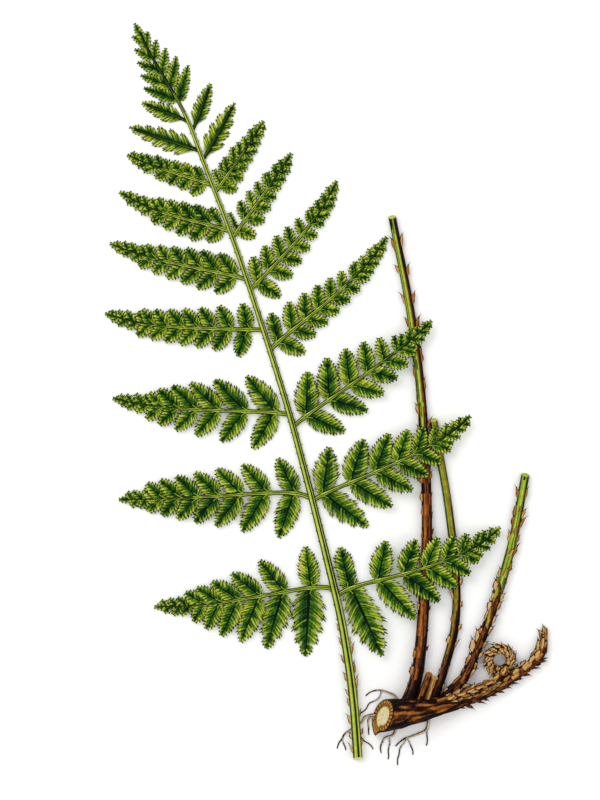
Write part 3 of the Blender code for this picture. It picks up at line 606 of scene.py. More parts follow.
# The raised midrib of a leaflet: radius, height over the blade, and how it leaves its rib
VEIN_RADIUS = 0.24
VEIN_LIFT = 0.20
VEIN_FALL = 1.8
VEIN_SLIP = 2.4
VEIN_GREEN = 3.0
VEIN_SHARE = 0.84
VEIN_STEP = 1.6
VEIN_TAPER = 0.4

# Spore patches on the underside: reach and drop of their rings, and the finishes between them
SORUS_RADIUS = 0.62
SORUS_RINGS = [(0.02, 0.08), (1.0, 0.04), (0.94, -0.14), (0.70, -0.20), (0.44, -0.30), (0.02, -0.34)]
SORUS_FINISHES = ("spores", "spores", "spores", "spore_cover", "spore_cover")
SORUS_SIDES = 8
SORUS_NOTCH = 0.35
SORUS_NOTCH_WIDTH = 0.5
SORUS_LEAST_ROOM = 1.5


def between(short, long, length):
    """A pair of numbers between those of a short and a long leaflet."""
    share = float(np.clip((length - SHORT_LEAFLET) / (LONG_LEAFLET - SHORT_LEAFLET), 0.0, 1.0))
    return tuple(mix(pair, share) for pair in zip(short, long))


def blade_places(length, half_width, teeth):
    """Where the vein lines of a blade start on the midrib and end on the outline."""
    ends = np.concatenate([(number + TOOTH_PHASES) / teeth for number in range(teeth)] + [[1.0]])
    ends = length * (1.0 - (1.0 - ends) ** TOOTH_CROWDING)
    wide = half_width(ends)
    feet = np.maximum(VEIN_LEAST_FOOT * ends, ends - wide / math.tan(VEIN_ANGLE))
    return ends, wide, np.maximum.accumulate(feet)


def blade_tones(teeth, lobe_teeth, lobe_depth):
    """Finish numbers of a blade's upper faces, right side first: strokes of painted shade, teeth of painted
    highlight.
    """
    phases = len(TOOTH_PHASES)
    columns = teeth * phases
    tooth = np.arange(columns) // phases
    phase = np.arange(columns) % phases
    row = ((ROWS[1:] + ROWS[:-1]) / 2.0)[None, :]
    whole = RNG.normal(0.0, BLADE_TONE_SPREAD)
    opening = (tooth % lobe_teeth == 0) & (phase == 0)
    lobe_vein = (tooth % lobe_teeth == lobe_teeth // 2) & ((phase == 1) | (phase == 2))
    vein_highlight = LOBE_VEIN_HIGHLIGHT[0] + LOBE_VEIN_HIGHLIGHT[1] * lobe_depth
    tip = np.isin(phase, TIP_PHASES)
    sides = []
    for side_tone in LIT_AND_SHADED_SIDE_TONES:
        # Painted light: a darker and a lighter side, a highlight towards the edge and along lobe veins, shade
        # strokes, shade between lobes and at the midrib
        tone = whole + side_tone + EDGE_HIGHLIGHT * smoothstep(*EDGE_HIGHLIGHT_ROWS, row)
        strength = np.where(TOOTH_SHADE_AND_HIGHLIGHT[phase] < 0.0, RNG.uniform(*STROKE_STRENGTH, teeth)[tooth], 1.0)
        begin = RNG.uniform(*STROKE_START, teeth)[tooth][:, None]
        tone = tone + (TOOTH_SHADE_AND_HIGHLIGHT[phase] * strength)[:, None] * smoothstep(begin, begin + STROKE_FADE, row)
        tone = tone + LOBE_GAP_SHADE * opening[:, None] * (row > LOBE_GAP_START)
        tone = tone + vein_highlight * lobe_vein[:, None] * (row < LOBE_VEIN_END)
        tone = tone + MIDRIB_SHADE * (1.0 - smoothstep(*MIDRIB_SHADE_ROWS, row))
        tone = tone + RNG.normal(0.0, TONE_SPREAD, teeth)[tooth][:, None]
        tone = tone + RNG.normal(0.0, TONE_SPREAD, (columns, row.size))
        numbers = TONES[np.searchsorted(TONE_LIMITS, tone)]
        # The row along the midrib is painted shade
        numbers[:, 0] = NUMBER["leaf_ink"]
        numbers[tip, -1] = NUMBER["tooth"]
        numbers[(phase == TIP_PHASES[0] - 1) & (RNG.random(columns) < DARK_BEFORE_TIP), -1] = NUMBER["tooth"]
        numbers[(phase == 0) & (RNG.random(columns) < DARK_IN_NOTCH), -1] = NUMBER["tooth"]
        numbers[tip & (RNG.random(columns) < DARK_SECOND_ROW), -2] = NUMBER["tooth"]
        sides.append(numbers)
    return np.concatenate([sides[0][:, ::-1], sides[1]], axis=1)


def blade(shape, place, length, half_width, level, lobing):
    """One leaflet: a thin closed blade with lobes, and teeth that end in bristles.

    place(along, left) gives x and y, half_width(along) the outline, level(along, x, y) the height
    of the blade, and lobing the spacing and depth of its lobes. It returns the points of the
    underside, with the half width and the place in its lobe of each row.
    """
    lobe_pitch, lobe_depth = lobing
    teeth = max(3, round(length / TOOTH_PITCH))
    lobe_teeth = max(2, round(lobe_pitch / TOOTH_PITCH))
    ends, wide, feet = blade_places(length, half_width, teeth)
    columns = len(ends)
    phase = np.arange(columns) % len(TOOTH_PHASES)
    tooth = np.arange(columns) // len(TOOTH_PHASES)
    lobe_phase = ((tooth % lobe_teeth) + TOOTH_PHASES[phase]) / lobe_teeth
    bulge = np.sin(np.pi * lobe_phase ** LOBE_SKEW)
    notch = TOOTH_NOTCH[phase] + lobe_depth * (1.0 - bulge) ** LOBE_SHARPNESS
    span = np.hypot(ends - feet, wide) + 0.01
    top_rows = []
    under_rows = []
    for side in (-1.0, 1.0):
        shown_notch = (notch * RNG.uniform(*NOTCH_SPREAD, columns))[:, None]
        power = np.clip(NOTCH_TURN / np.maximum(shown_notch, NOTCH_LEAST) - 1.0, *NOTCH_POWERS)
        bristle = RNG.uniform(*BRISTLE, columns // len(TOOTH_PHASES) + 1)[tooth] * np.isin(phase, TIP_PHASES)
        for rows, kept in ((ROWS, top_rows), (UNDER_ROWS, under_rows)):
            share = rows[None, :]
            reach = share * (1.0 - shown_notch * share ** power)
            reach[:, -1] += bristle / span
            along = feet[:, None] + (ends - feet)[:, None] * reach ** VEIN_ONWARD
            across = wide[:, None] * reach ** VEIN_OUTWARD
            x, y = place(along, side * across)
            midrib = share < MIDRIB_ROW
            if rows is ROWS:
                lift = BLADE_TOP + MIDRIB_RISE * midrib + LOBE_DOME * share * bulge[:, None]
                lift = lift - EDGE_DROP * share ** 2
                lift = lift - NOTCH_GROOVE * (share > NOTCH_GROOVE_START) * (phase == 0)[:, None]
            else:
                lift = BLADE_UNDER - MIDRIB_UNDER * midrib + EDGE_UNDER * share
            kept.append(np.stack([x, y, level(along, x, y) + lift], axis=-1))
    top = np.concatenate([top_rows[0][:, ::-1], top_rows[1][:, 1:]], axis=1)
    under = np.concatenate([under_rows[0][:, -2::-1], under_rows[1][:, 1:-1]], axis=1)
    top[[0, -1]] = top[[0, -1], None, len(ROWS) - 1]
    across_top = top.shape[1]
    across_under = under.shape[1]
    top_index = np.arange(columns * across_top).reshape(columns, across_top)
    top_index[[0, -1]] = top_index[[0, -1], :1]
    under_index = np.arange(columns * across_under).reshape(columns, -1) + columns * across_top
    under_index[[0, -1]] = top_index[[0, -1], :1]
    under_index = np.concatenate([top_index[:, :1], under_index, top_index[:, -1:]], axis=1)
    below = np.full((columns - 1, across_under + 1), NUMBER["leaf_under"])
    below[phase[:-1] == 2, :] = NUMBER["leaf_under_vein"]
    shape.add(np.vstack([top.reshape(-1, 3), under.reshape(-1, 3)]),
              np.vstack([grid(top_index), grid(under_index, turned=True)]),
              np.concatenate([blade_tones(teeth, lobe_teeth, lobe_depth).ravel(), below.ravel()]))
    return under, wide, lobe_phase


def add_sori(shape, under, wide, lobe_phase):
    """A round patch of spores, half hidden by its pale cover, under each side of each lobe."""
    room = wide[:-1] > SORUS_LEAST_ROOM
    middles = np.flatnonzero((lobe_phase[:-1] < 0.5) & (lobe_phase[1:] >= 0.5) & room)
    turn = np.linspace(0.0, 2.0 * np.pi, SORUS_SIDES, endpoint=False)
    kidney = 1.0 - SORUS_NOTCH * np.exp(-((turn - np.pi) / SORUS_NOTCH_WIDTH) ** 2)
    rings = np.array([[(reach * k * math.cos(t), reach * k * math.sin(t), drop) for t, k in zip(turn, kidney)]
                      for reach, drop in SORUS_RINGS])
    rings[..., :2] *= SORUS_RADIUS
    rings[[0, -1], :, :2] = 0.0
    index = closed_rows(len(SORUS_RINGS), SORUS_SIDES)
    index[[0, -1]] = index[[0, -1], :1]
    numbers = np.repeat([NUMBER[name] for name in SORUS_FINISHES], SORUS_SIDES)
    for column in middles:
        for spot in (under[column, 0], under[column, -1]):
            shape.add(rings + spot, grid(index), numbers)


# Scales and hairs: relative half width along a scale, where its dark hair tip begins, and how it
# bends and arches
SCALE_PLACES = np.array([0.0, 0.10, 0.24, 0.40, 0.56, 0.70, 0.80, 0.90, 1.0])
SCALE_WIDTHS = np.array([0.45, 0.80, 1.0, 0.96, 0.76, 0.44, 0.20, 0.10, 0.02])
SCALE_ROWS = np.array([-1.0, -0.66, 0.0, 0.66, 1.0])
SCALE_THICKNESS = 0.16
SCALE_HAIR = 0.72
SCALE_HOOK = 0.26
SCALE_ARCH = 0.22
SCALE_CURL = 0.25
SCALE_CURL_SHARE = 0.3
SCALE_DIP = 0.25
SCALE_SEAT = (0.84, 0.96)
SCALE_RAGGED = (0.72, 1.22)
SCALE_SIZES = (0.65, 1.3)
SCALE_LEANS = (-8.0, 12.0)
SCALE_SPACINGS = (0.75, 1.25)
SCALE_WANDER = 0.12
# The finishes of the two halves of a scale's face, by kind
SCALE_KINDS = {
    "tan": [("scale_tan", "scale_ochre"), ("scale_tan", "scale_tan"), ("scale_ochre", "scale_tan"),
            ("scale_rose", "scale_ochre")],
    "ochre": [("scale_ochre", "brown_light"), ("scale_ochre", "scale_tan"), ("brown_light", "scale_ochre")],
    "dark": [("brown", "brown_deep"), ("brown_deep", "brown")],
    "rose": [("scale_rose", "scale_tan"), ("scale_tan", "scale_rose"), ("scale_rose", "scale_ochre")],
}


def add_scale(shape, foot, ahead, outward, up, size, lean, finishes, curl=SCALE_CURL):
    """A thin pointed scale: length and half width, leaning out from its stem by an angle.

    The finishes are those of the two halves of its face; its edges and hair tip are dark.
    """
    length, half_width = size
    turn = math.radians(lean)
    along = ahead * math.cos(turn) + outward * math.sin(turn)
    across = outward * math.cos(turn) - ahead * math.sin(turn) - up * SCALE_DIP
    across /= np.linalg.norm(across)
    normal = up - along * np.dot(up, along)
    bend = np.sign(np.dot(across, outward)) * SCALE_PLACES ** 4 * SCALE_HOOK * length
    spine = foot + along * (length * SCALE_PLACES)[:, None] + across * bend[:, None]
    spine = spine + normal * (curl * length * SCALE_CURL_SHARE * SCALE_PLACES ** 2)[:, None]
    offset = (half_width * SCALE_WIDTHS)[:, None] * SCALE_ROWS[None, :]
    offset[1:-1, [0, 1, 3, 4]] *= RNG.uniform(*SCALE_RAGGED, (len(SCALE_PLACES) - 2, 2)).repeat(2, axis=1)
    top = spine[:, None, :] + across * offset[..., None]
    top = top + normal * (SCALE_ARCH * half_width * (1.0 - SCALE_ROWS ** 2))[None, :, None]
    under = top[:, 1:-1] - normal * SCALE_THICKNESS
    rows, columns = offset.shape
    top_index = np.arange(rows * columns).reshape(rows, columns)
    inner = np.arange(rows * (columns - 2)).reshape(rows, -1) + rows * columns
    inner[[0, -1]] = top_index[[0, -1], 1:-1]
    under_index = np.concatenate([top_index[:, :1], inner, top_index[:, -1:]], axis=1)
    face, shade = (NUMBER[name] for name in finishes)
    edge = NUMBER["scale_edge"]
    numbers = np.full((rows - 1, columns - 1), face)
    numbers[:, -2] = shade
    numbers[0] = shade
    numbers[:, -1] = edge
    numbers[1:, 0] = edge
    numbers[SCALE_PLACES[1:] > SCALE_HAIR] = edge
    flipped = np.dot(np.cross(along, across), normal) < 0.0
    shape.add(np.vstack([top.reshape(-1, 3), under.reshape(-1, 3)]),
              np.vstack([grid(top_index, flipped), grid(under_index, not flipped)]),
              np.concatenate([numbers.ravel(), np.full(numbers.size, edge)]))


def draw_scale(shape, foot, ahead, outward, up, size, lean, kind, curl=SCALE_CURL):
    """A scale of a kind, of about this size and lean."""
    finishes = SCALE_KINDS[kind][int(RNG.integers(len(SCALE_KINDS[kind])))]
    drawn = tuple(side * RNG.uniform(*SCALE_SIZES) for side in size)
    add_scale(shape, foot, ahead, outward, up, drawn, lean + RNG.uniform(*SCALE_LEANS), finishes, curl)


def scales_along(shape, path, radius, rows, steps):
    """Rows of scales along a stem, pointing to its tip.

    Each row says how far out on the stem its scales stand (-1 left edge, 1 right edge, and past
    those on its underside), its first and last share of the stem's length, and the scales'
    spacing, length, half width, lean and kind.
    """
    ahead, right, up = frames(path)
    length = steps[-1]
    for across, first, last, spacing, size, half_width, lean, kind in rows:
        distance = first * length
        side = 1.0 if across > 0.0 else -1.0
        facing = 1.0 if abs(across) <= 1.0 else -1.0
        if facing < 0.0:
            across = side * (2.0 - abs(across))
        height = facing * math.sqrt(max(0.0, 1.0 - across ** 2))
        while distance < last * length:
            row = int(np.clip(np.searchsorted(steps, distance), 0, len(path) - 1))
            spread = (across + RNG.uniform(-SCALE_WANDER, SCALE_WANDER)) * radius[row] * SCALE_SEAT[0]
            foot = path[row] + right[row] * spread + up[row] * height * radius[row] * SCALE_SEAT[1]
            draw_scale(shape, foot, ahead[row], right[row] * side, up[row] * facing,
                       (size, half_width), lean, kind)
            distance += spacing * RNG.uniform(*SCALE_SPACINGS)


# The frond's stalk: bands across it (pale ones as painted highlight, dark ones at its edges and beside
# its groove as painted shade), its groove, and its hairs, with scales near the cut end
STALK_LIGHT_AND_SHADE_BANDS = [
    (-0.76, "stalk_ink"), (-0.62, "stalk_olive"), (-0.18, "stalk_pale"), (0.04, "stalk_lime"),
    (0.34, "stalk_ink"), (0.52, "stalk_lime"), (0.74, "stalk_pale"), (1.0, "stalk_ink"),
]
STALK_COLUMNS = 28
STALK_STEP = 2.0
STALK_GROOVE = 0.14
STALK_GROOVE_ANGLE = 0.48 * math.pi
STALK_GROOVE_WIDTH = 0.16
STALK_CUT_SLANT = 0.45
STALK_BAND_WANDER = 0.06
STALK_UNDERSIDE = -0.2
STALK_EDGE = 0.86
STALK_FIRST_SCALES = (4.0, 7.0)
STALK_SCALES_END = 72.0
STALK_SCALE = (6.4, 1.25)
STALK_SCALE_LEAN = 6.0
STALK_SCALE_SPACING = (7.0, 10.0)
STALK_HAIRS_END = 12.0
STALK_HAIR_LENGTH = (1.1, 1.9)
STALK_HAIR_WIDTH = 0.22
STALK_HAIR_LEAN = (25, 60)
STALK_HAIR_SPACING = (4.5, 10.0)


def build_frond_stalk(stalk):
    """The grooved main stalk, with hairs on both edges and scales near its cut end."""
    places = np.arange(0.0, STALK_END + 0.1, STALK_STEP)
    spots = stalk.at(places)
    radius = stalk_radius(places)
    path = np.stack([spots[:, 0], spots[:, 1], stalk_height(places)], axis=1)
    angle = np.linspace(0.0, 2.0 * np.pi, STALK_COLUMNS, endpoint=False)
    groove = -STALK_GROOVE * np.exp(-((angle - STALK_GROOVE_ANGLE) / STALK_GROOVE_WIDTH) ** 2)
    section, middle = round_section(radius, STALK_COLUMNS, groove)
    wander = STALK_BAND_WANDER * streaks(len(places) - 1, STALK_COLUMNS, (2, 3), 2.0, 3)
    # Painted highlight and painted shade in bands across the stalk
    numbers = bands(np.cos(middle)[None, :] + wander, STALK_LIGHT_AND_SHADE_BANDS)
    numbers[:, np.sin(middle) < STALK_UNDERSIDE] = NUMBER["stalk_lime"]
    shape = Shape()
    sweep(shape, path, section, numbers, caps=("cut_pale", "stalk_olive"), slants=(STALK_CUT_SLANT, 0.0))
    ahead, right, up = frames(path)
    for side, distance in zip((-1.0, 1.0), STALK_FIRST_SCALES):
        while distance < STALK_END - STALK_HAIRS_END:
            row = int(round(distance / STALK_STEP))
            outward = right[row] * side
            foot = path[row] + outward * radius[row] * STALK_EDGE
            if distance < STALK_SCALES_END:
                draw_scale(shape, foot, ahead[row], outward, up[row], STALK_SCALE, STALK_SCALE_LEAN, "rose")
                distance += RNG.uniform(*STALK_SCALE_SPACING)
            else:
                size = (RNG.uniform(*STALK_HAIR_LENGTH), STALK_HAIR_WIDTH)
                add_scale(shape, foot, ahead[row], outward, up[row], size, RNG.uniform(*STALK_HAIR_LEAN),
                          ("scale_edge", "scale_edge"))
                distance += RNG.uniform(*STALK_HAIR_SPACING)
    shape.build("frond_stalk_grooved", "green_stalk", "frond_stalk")


# Cut stalks, stubs and young shoot. From the part's source: route in plan, radii at foot and end,
# height of the foot's axis, and the length over which the stem comes down to the surface, or else
# its rise. Then the slot, the finish and the slant of the cut end, the share of the length that is
# flecked, the bands across it from left to right, in zones that end at a share of the length, and
# its rows of scales. The zones carry the stem's own colours; the bands across them are partly painted
# light, lighter bands to the left as painted highlight and darker ones to the right and at both edges
# as painted shade.
STEMS = {
    "stipe_tall": dict(
        route=[(42.0, -174.0), (45.7, -165.8), (50.0, -149.0), (53.0, -115.0), (54.6, -67.4),
               (51.8, -5.6), (45.6, 44.9), (35.3, 98.0)],
        radii=(3.5, 2.1), foot=6.2, settle=60.0, rise=0.0,
        slot="brown_stalk", cap="stalk_pale", slant=0.5, flecks_end=0.62,
        zones=[
            (0.10, [(-0.74, "brown_ink"), (-0.45, "brown"), (-0.20, "brown_deep"), (1.0, "brown_ink")]),
            (0.45, [(-0.74, "brown_ink"), (-0.55, "brown"), (-0.18, "brown_light"), (0.04, "brown"),
                    (0.30, "brown_deep"), (0.46, "brown"), (0.62, "brown_deep"), (1.0, "brown_ink")]),
            (0.60, [(-0.74, "brown_ink"), (-0.60, "olive"), (-0.30, "stalk_olive"), (0.0, "brown"),
                    (0.26, "brown_deep"), (0.48, "brown"), (1.0, "brown_ink")]),
            (1.01, [(-0.74, "stalk_ink"), (-0.66, "stalk_lime"), (-0.44, "stalk_olive"),
                    (-0.24, "stalk_pale"), (-0.06, "stalk_olive"), (0.16, "stalk_lime"),
                    (0.30, "brown"), (0.52, "brown_deep"), (1.0, "brown_ink")]),
        ],
        scales=[
            (-0.9, 0.02, 0.40, 12.0, 7.4, 1.45, 2, "tan"), (0.95, 0.08, 0.44, 10.0, 4.2, 0.7, 14, "dark"),
            (-0.9, 0.42, 0.60, 12.0, 8.0, 1.4, 5, "tan"), (0.9, 0.46, 0.62, 13.0, 7.2, 1.1, 8, "ochre"),
            (-0.95, 0.62, 0.975, 15.5, 8.6, 1.15, 3, "ochre"),
            (0.95, 0.64, 0.975, 15.5, 8.8, 1.2, 3, "ochre"),
        ],
    ),
    "stipe_middle": dict(
        route=[(56.0, -171.5), (59.6, -164.5), (65.5, -147.2), (70.3, -126.2), (70.5, -99.2),
               (65.7, -57.1), (57.9, -13.6)],
        radii=(2.4, 2.2), foot=2.7, settle=30.0, rise=0.0,
        slot="olive_stalk", cap="stalk_pale", slant=0.5, flecks_end=0.30,
        zones=[
            (0.18, [(-0.74, "brown_ink"), (-0.3, "brown"), (0.0, "brown_deep"), (1.0, "brown_ink")]),
            (0.34, [(-0.74, "brown_ink"), (-0.5, "olive"), (-0.1, "brown"), (0.3, "brown_deep"),
                    (1.0, "brown_ink")]),
            (0.55, [(-0.78, "stalk_ink"), (-0.46, "stalk_olive"), (-0.1, "olive"), (0.22, "olive"),
                    (0.40, "brown"), (0.56, "brown_deep"), (1.0, "brown_ink")]),
            (1.01, [(-0.78, "stalk_ink"), (-0.56, "stalk_olive"), (-0.36, "stalk_lime"), (0.0, "olive"),
                    (0.24, "olive_pale"), (0.52, "olive"), (0.66, "stalk_olive"), (1.0, "stalk_ink")]),
        ],
        scales=[
            (-0.9, 0.04, 0.44, 14.0, 6.8, 1.5, 4, "tan"), (0.9, 0.06, 0.46, 11.5, 6.2, 1.25, 6, "tan"),
        ],
    ),
    "stipe_right": dict(
        route=[(62.8, -171.0), (67.4, -164.2), (75.2, -155.6), (84.7, -134.6), (93.4, -110.7),
               (102.0, -80.0), (108.9, -43.7)],
        radii=(2.9, 2.3), foot=4.4, settle=45.0, rise=0.0,
        slot="olive_stalk", cap="stalk_lime", slant=0.5, flecks_end=0.60,
        zones=[
            (0.10, [(-0.74, "brown_ink"), (-0.35, "brown_deep"), (1.0, "brown_ink")]),
            (0.40, [(-0.74, "brown_ink"), (-0.45, "brown_deep"), (-0.25, "brown"), (-0.08, "brown_light"),
                    (0.22, "brown_deep"), (0.40, "brown"), (1.0, "brown_ink")]),
            (0.50, [(-0.74, "brown_deep"), (-0.5, "brown"), (-0.15, "olive_pale"), (0.10, "brown"),
                    (0.45, "olive"), (0.70, "brown_deep"), (1.0, "brown_ink")]),
            (1.01, [(-0.74, "stalk_ink"), (-0.60, "stalk_olive"), (-0.20, "stalk_lime"), (0.0, "stalk_pale"),
                    (0.18, "stalk_olive"), (0.50, "stalk_lime"), (0.70, "stalk_olive"), (1.0, "stalk_ink")]),
        ],
        scales=[
            (-0.85, 0.04, 0.52, 6.4, 7.4, 1.7, 9, "rose"), (0.85, 0.05, 0.52, 6.6, 7.0, 1.7, 12, "rose"),
            (0.0, 0.06, 0.52, 8.5, 6.8, 1.3, 0, "dark"), (-0.9, 0.52, 0.92, 8.5, 7.2, 1.4, 1, "ochre"),
            (0.9, 0.54, 0.90, 7.5, 7.2, 1.4, 2, "ochre"), (0.15, 0.56, 0.86, 13.0, 6.4, 1.1, 0, "ochre"),
            (-1.3, 0.06, 0.60, 9.0, 6.2, 1.4, -6, "ochre"), (1.3, 0.06, 0.60, 9.0, 6.2, 1.4, -6, "ochre"),
        ],
    ),
    "old_stub_left": dict(
        route=[(47.6, -175.5), (50.9, -166.5), (56.0, -152.7)],
        radii=(2.2, 1.9), foot=10.6, settle=0.0, rise=2.0,
        slot="old_stub", cap="brown_light", slant=0.5, flecks_end=1.0,
        zones=[
            (0.40, [(-0.70, "brown_ink"), (-0.1, "brown_deep"), (1.0, "brown_ink")]),
            (1.01, [(-0.74, "brown_ink"), (-0.45, "brown"), (-0.2, "brown_light"), (-0.05, "brown_deep"),
                    (0.2, "brown_light"), (0.42, "brown"), (0.60, "brown_deep"), (1.0, "brown_ink")]),
        ],
        scales=[],
    ),
    "old_stub_right": dict(
        route=[(52.4, -174.5), (55.0, -167.0), (59.0, -154.8)],
        radii=(2.3, 2.1), foot=6.8, settle=0.0, rise=-0.4,
        slot="old_stub", cap="scale_tan", slant=0.5, flecks_end=1.0,
        zones=[
            (0.35, [(-0.70, "brown_ink"), (-0.2, "brown_light"), (0.2, "brown"), (1.0, "brown_deep")]),
            (1.01, [(-0.80, "brown_ink"), (-0.3, "scale_ochre"), (0.15, "scale_tan"), (0.42, "scale_ochre"),
                    (0.64, "brown"), (1.0, "brown_ink")]),
        ],
        scales=[],
    ),
    "young_shoot": dict(
        route=[(63.0, -172.4), (72.4, -169.8), (88.5, -164.0), (105.3, -153.4), (113.7, -146.9),
               (118.9, -139.6), (119.8, -131.2)],
        radii=(2.7, 1.2), foot=3.9, settle=25.0, rise=0.0,
        slot="scaly", cap="brown", slant=0.0, flecks_end=1.0,
        zones=[
            (0.14, [(-0.74, "brown_ink"), (-0.3, "brown"), (1.0, "brown_ink")]),
            (1.01, [(-0.74, "brown_ink"), (-0.5, "brown"), (-0.25, "brown_light"), (-0.05, "brown_deep"),
                    (0.16, "brown"), (0.36, "brown_deep"), (0.52, "brown"), (0.66, "brown_deep"),
                    (1.0, "brown_ink")]),
        ],
        scales=[
            (-0.95, 0.04, 0.96, 5.0, 6.8, 1.7, 14, "tan"), (-0.5, 0.06, 0.95, 5.8, 7.0, 1.75, 4, "tan"),
            (0.0, 0.30, 0.96, 8.0, 6.4, 1.5, -4, "ochre"), (0.95, 0.10, 0.93, 4.5, 4.8, 0.8, 24, "dark"),
            (0.55, 0.12, 0.94, 6.0, 5.4, 1.3, 2, "dark"), (1.25, 0.06, 0.96, 5.0, 6.0, 1.6, -8, "ochre"),
            (1.5, 0.10, 0.94, 6.0, 5.6, 1.5, -4, "tan"), (-1.3, 0.30, 0.96, 5.6, 6.0, 1.5, -8, "ochre"),
            (-0.4, 0.93, 0.99, 1.6, 4.4, 1.3, 6, "tan"), (0.4, 0.92, 0.99, 1.6, 4.2, 1.3, 6, "ochre"),
            (1.0, 0.93, 0.99, 2.0, 4.0, 1.2, 4, "tan"), (-1.0, 0.93, 0.99, 2.0, 4.0, 1.2, 4, "ochre"),
        ],
    ),
}
STEM_COLUMNS = 26
STEM_STEP = 2.0
STEM_RIDGES = 0.06
STEM_THINNING = 0.03
STEM_BAND_WANDER = 0.12
STEM_ZONE_BLUR = 0.07
# The few faces at a stem's cut end that the blur puts past its last zone
STEM_TIP_FINISH = "leaf_ink"
STEM_FLECKS = 0.13
STEM_FLECK_ROWS = 3
STEM_FLARE = 0.55
STEM_FLARE_LENGTH = 7.0
STEM_FOOT_SHARE = 0.5
STEM_FOOT_LENGTH = 4.5
SHOOT_WAIST = 0.82
# The painted shade lines along a stem's edges end at this height round it, and below it these two
# tones take their place
UNDERSIDE = -0.12
UNDERSIDE_LIGHT = 0.05
UNDERSIDE_TONES = {"brown_ink": ("brown", "brown_deep"), "stalk_ink": ("olive", "stalk_olive")}


def without_lines(numbers, middle, seed):
    """A stem's finish numbers, with streaks in place of the painted shade lines along its edges on its
    underside.
    """
    below = np.broadcast_to(np.sin(middle) < UNDERSIDE, numbers.shape)
    light = streaks(*numbers.shape, (4, 6, 9), 3.0, seed) > UNDERSIDE_LIGHT
    numbers = numbers.copy()
    for line, (lighter, darker) in UNDERSIDE_TONES.items():
        lined = below & (numbers == NUMBER[line])
        numbers[lined] = np.where(light, NUMBER[lighter], NUMBER[darker])[lined]
    return numbers


def build_stem(seed, name, route, radii, foot, settle, rise, slot, cap, slant, flecks_end, zones, scales):
    """One cut stalk, old stub or the young shoot: streaked bark, a cut end and scales."""
    route = Route(route)
    rows = max(8, round(route.length / STEM_STEP))
    share = np.linspace(0.0, 1.0, rows)
    steps = route.length * share
    spots = route.at(steps)
    if name == "young_shoot":
        radius = mix(radii, smoothstep(SHOOT_WAIST, 1.0, share))
    else:
        radius = mix(radii, share)
    if settle > 0.0:
        height = foot + (radius - foot) * smoothstep(0.0, settle, steps)
    else:
        height = foot + rise * share
    path = np.stack([spots[:, 0], spots[:, 1], height], axis=1)
    relief = STEM_RIDGES * streaks(rows, STEM_COLUMNS, (5, 7, 11), 1.5, 20 + seed)
    flare = STEM_FLARE * np.exp(-steps / STEM_FLARE_LENGTH) * (settle > 0.0)
    narrowing = STEM_FOOT_SHARE * (1.0 - smoothstep(0.0, STEM_FOOT_LENGTH, steps))
    section, middle = round_section(radius * ((1.0 + flare) * (1.0 - narrowing)), STEM_COLUMNS,
                                    relief - STEM_THINNING)
    wander = STEM_BAND_WANDER * streaks(rows - 1, STEM_COLUMNS, (2, 3, 5), 2.5, 40 + seed)
    flecks = RNG.normal(0.0, STEM_FLECKS, (rows // STEM_FLECK_ROWS + 1, STEM_COLUMNS))
    flecks = flecks.repeat(STEM_FLECK_ROWS, axis=0)[:rows - 1] * (share[:-1, None] < flecks_end)
    across = np.cos(middle)[None, :] + wander + flecks
    blur = share[:-1, None] + STEM_ZONE_BLUR * streaks(rows - 1, STEM_COLUMNS, (3, 4, 6), 9.0, 60 + seed)
    numbers = np.full(blur.shape, NUMBER[STEM_TIP_FINISH])
    # Each zone's bands: the stem's own colours, with painted highlight to the left and painted shade to the
    # right and at the edges
    for end, limits in reversed(zones):
        numbers = np.where(blur < end, bands(across, limits), numbers)
    shape = Shape()
    sweep(shape, path, section, without_lines(numbers, middle, 100 + seed), ("brown_ink", cap), (0.0, slant))
    scales_along(shape, path, radius, scales, steps)
    shape.build(name + "_bark", slot, name)


# Rootstock, cut across at its left end, as in the part's source
ROOTSTOCK_AXIS = [
    (22.0, -178.0, 9.3), (32.0, -176.6, 9.1), (42.0, -175.0, 8.5), (52.0, -173.4, 7.4),
    (62.0, -171.9, 6.1), (70.0, -170.8, 5.0), (76.0, -169.9, 4.2),
]
ROOTSTOCK_RADII = [9.2, 9.2, 8.3, 7.1, 5.6, 3.9, 1.2]
ROOTSTOCK_CUT_POINT = (30.4, -176.8, 9.2)
ROOTSTOCK_CUT_NORMAL = (-0.84, 0.20, 0.50)
ROOTSTOCK_COLUMNS = 72
ROOTSTOCK_ROWS = 64
ROOTSTOCK_FINE = 400
ROOTSTOCK_RELIEF = (0.75, -0.45)
ROOTSTOCK_LEAST_HEIGHT = 0.15
ROOTSTOCK_TONES = ("brown_ink", "brown_deep", "brown", "bark_orange", "brown_light")
ROOTSTOCK_TONE_LIMITS = [0.02, 0.34, 0.66, 1.05]
ROOTSTOCK_CROWDING = 1.2
ROOTSTOCK_SMOOTH_SHARE = 0.06
# Its bark is lighter round an angle near the top, a painted highlight, and on the underside, and darker
# at its lower edge, painted shade, and, past an angle, behind the cut, a painted shadow: strengths,
# angles and their widths, and length
BARK_TOP_HIGHLIGHT = (0.34, 1.45, 0.75)
BARK_UNDER = 0.16
BARK_EDGE_SHADE = (1.1, 0.50)
BARK_CUT_SHADOW = (0.6, 1.7, 7.0)
# The rim of the cut face is drawn out to a point at one side: its angle round the stem, reach
# and width, the hollows beside it, and how far it fades along the stem
CUT_POINT_ANGLE = math.radians(-32.0)
CUT_POINT_REACH = 0.30
CUT_POINT_WIDTH = 0.24
CUT_HOLLOW = 0.12
CUT_HOLLOW_ANGLE = 0.62
CUT_HOLLOW_WIDTH = 0.28
CUT_POINT_FADE = 5.0
# Dark strokes on the face: every so many columns, and away from the point
CUT_STROKES = 3
CUT_STROKE_START = 0.5
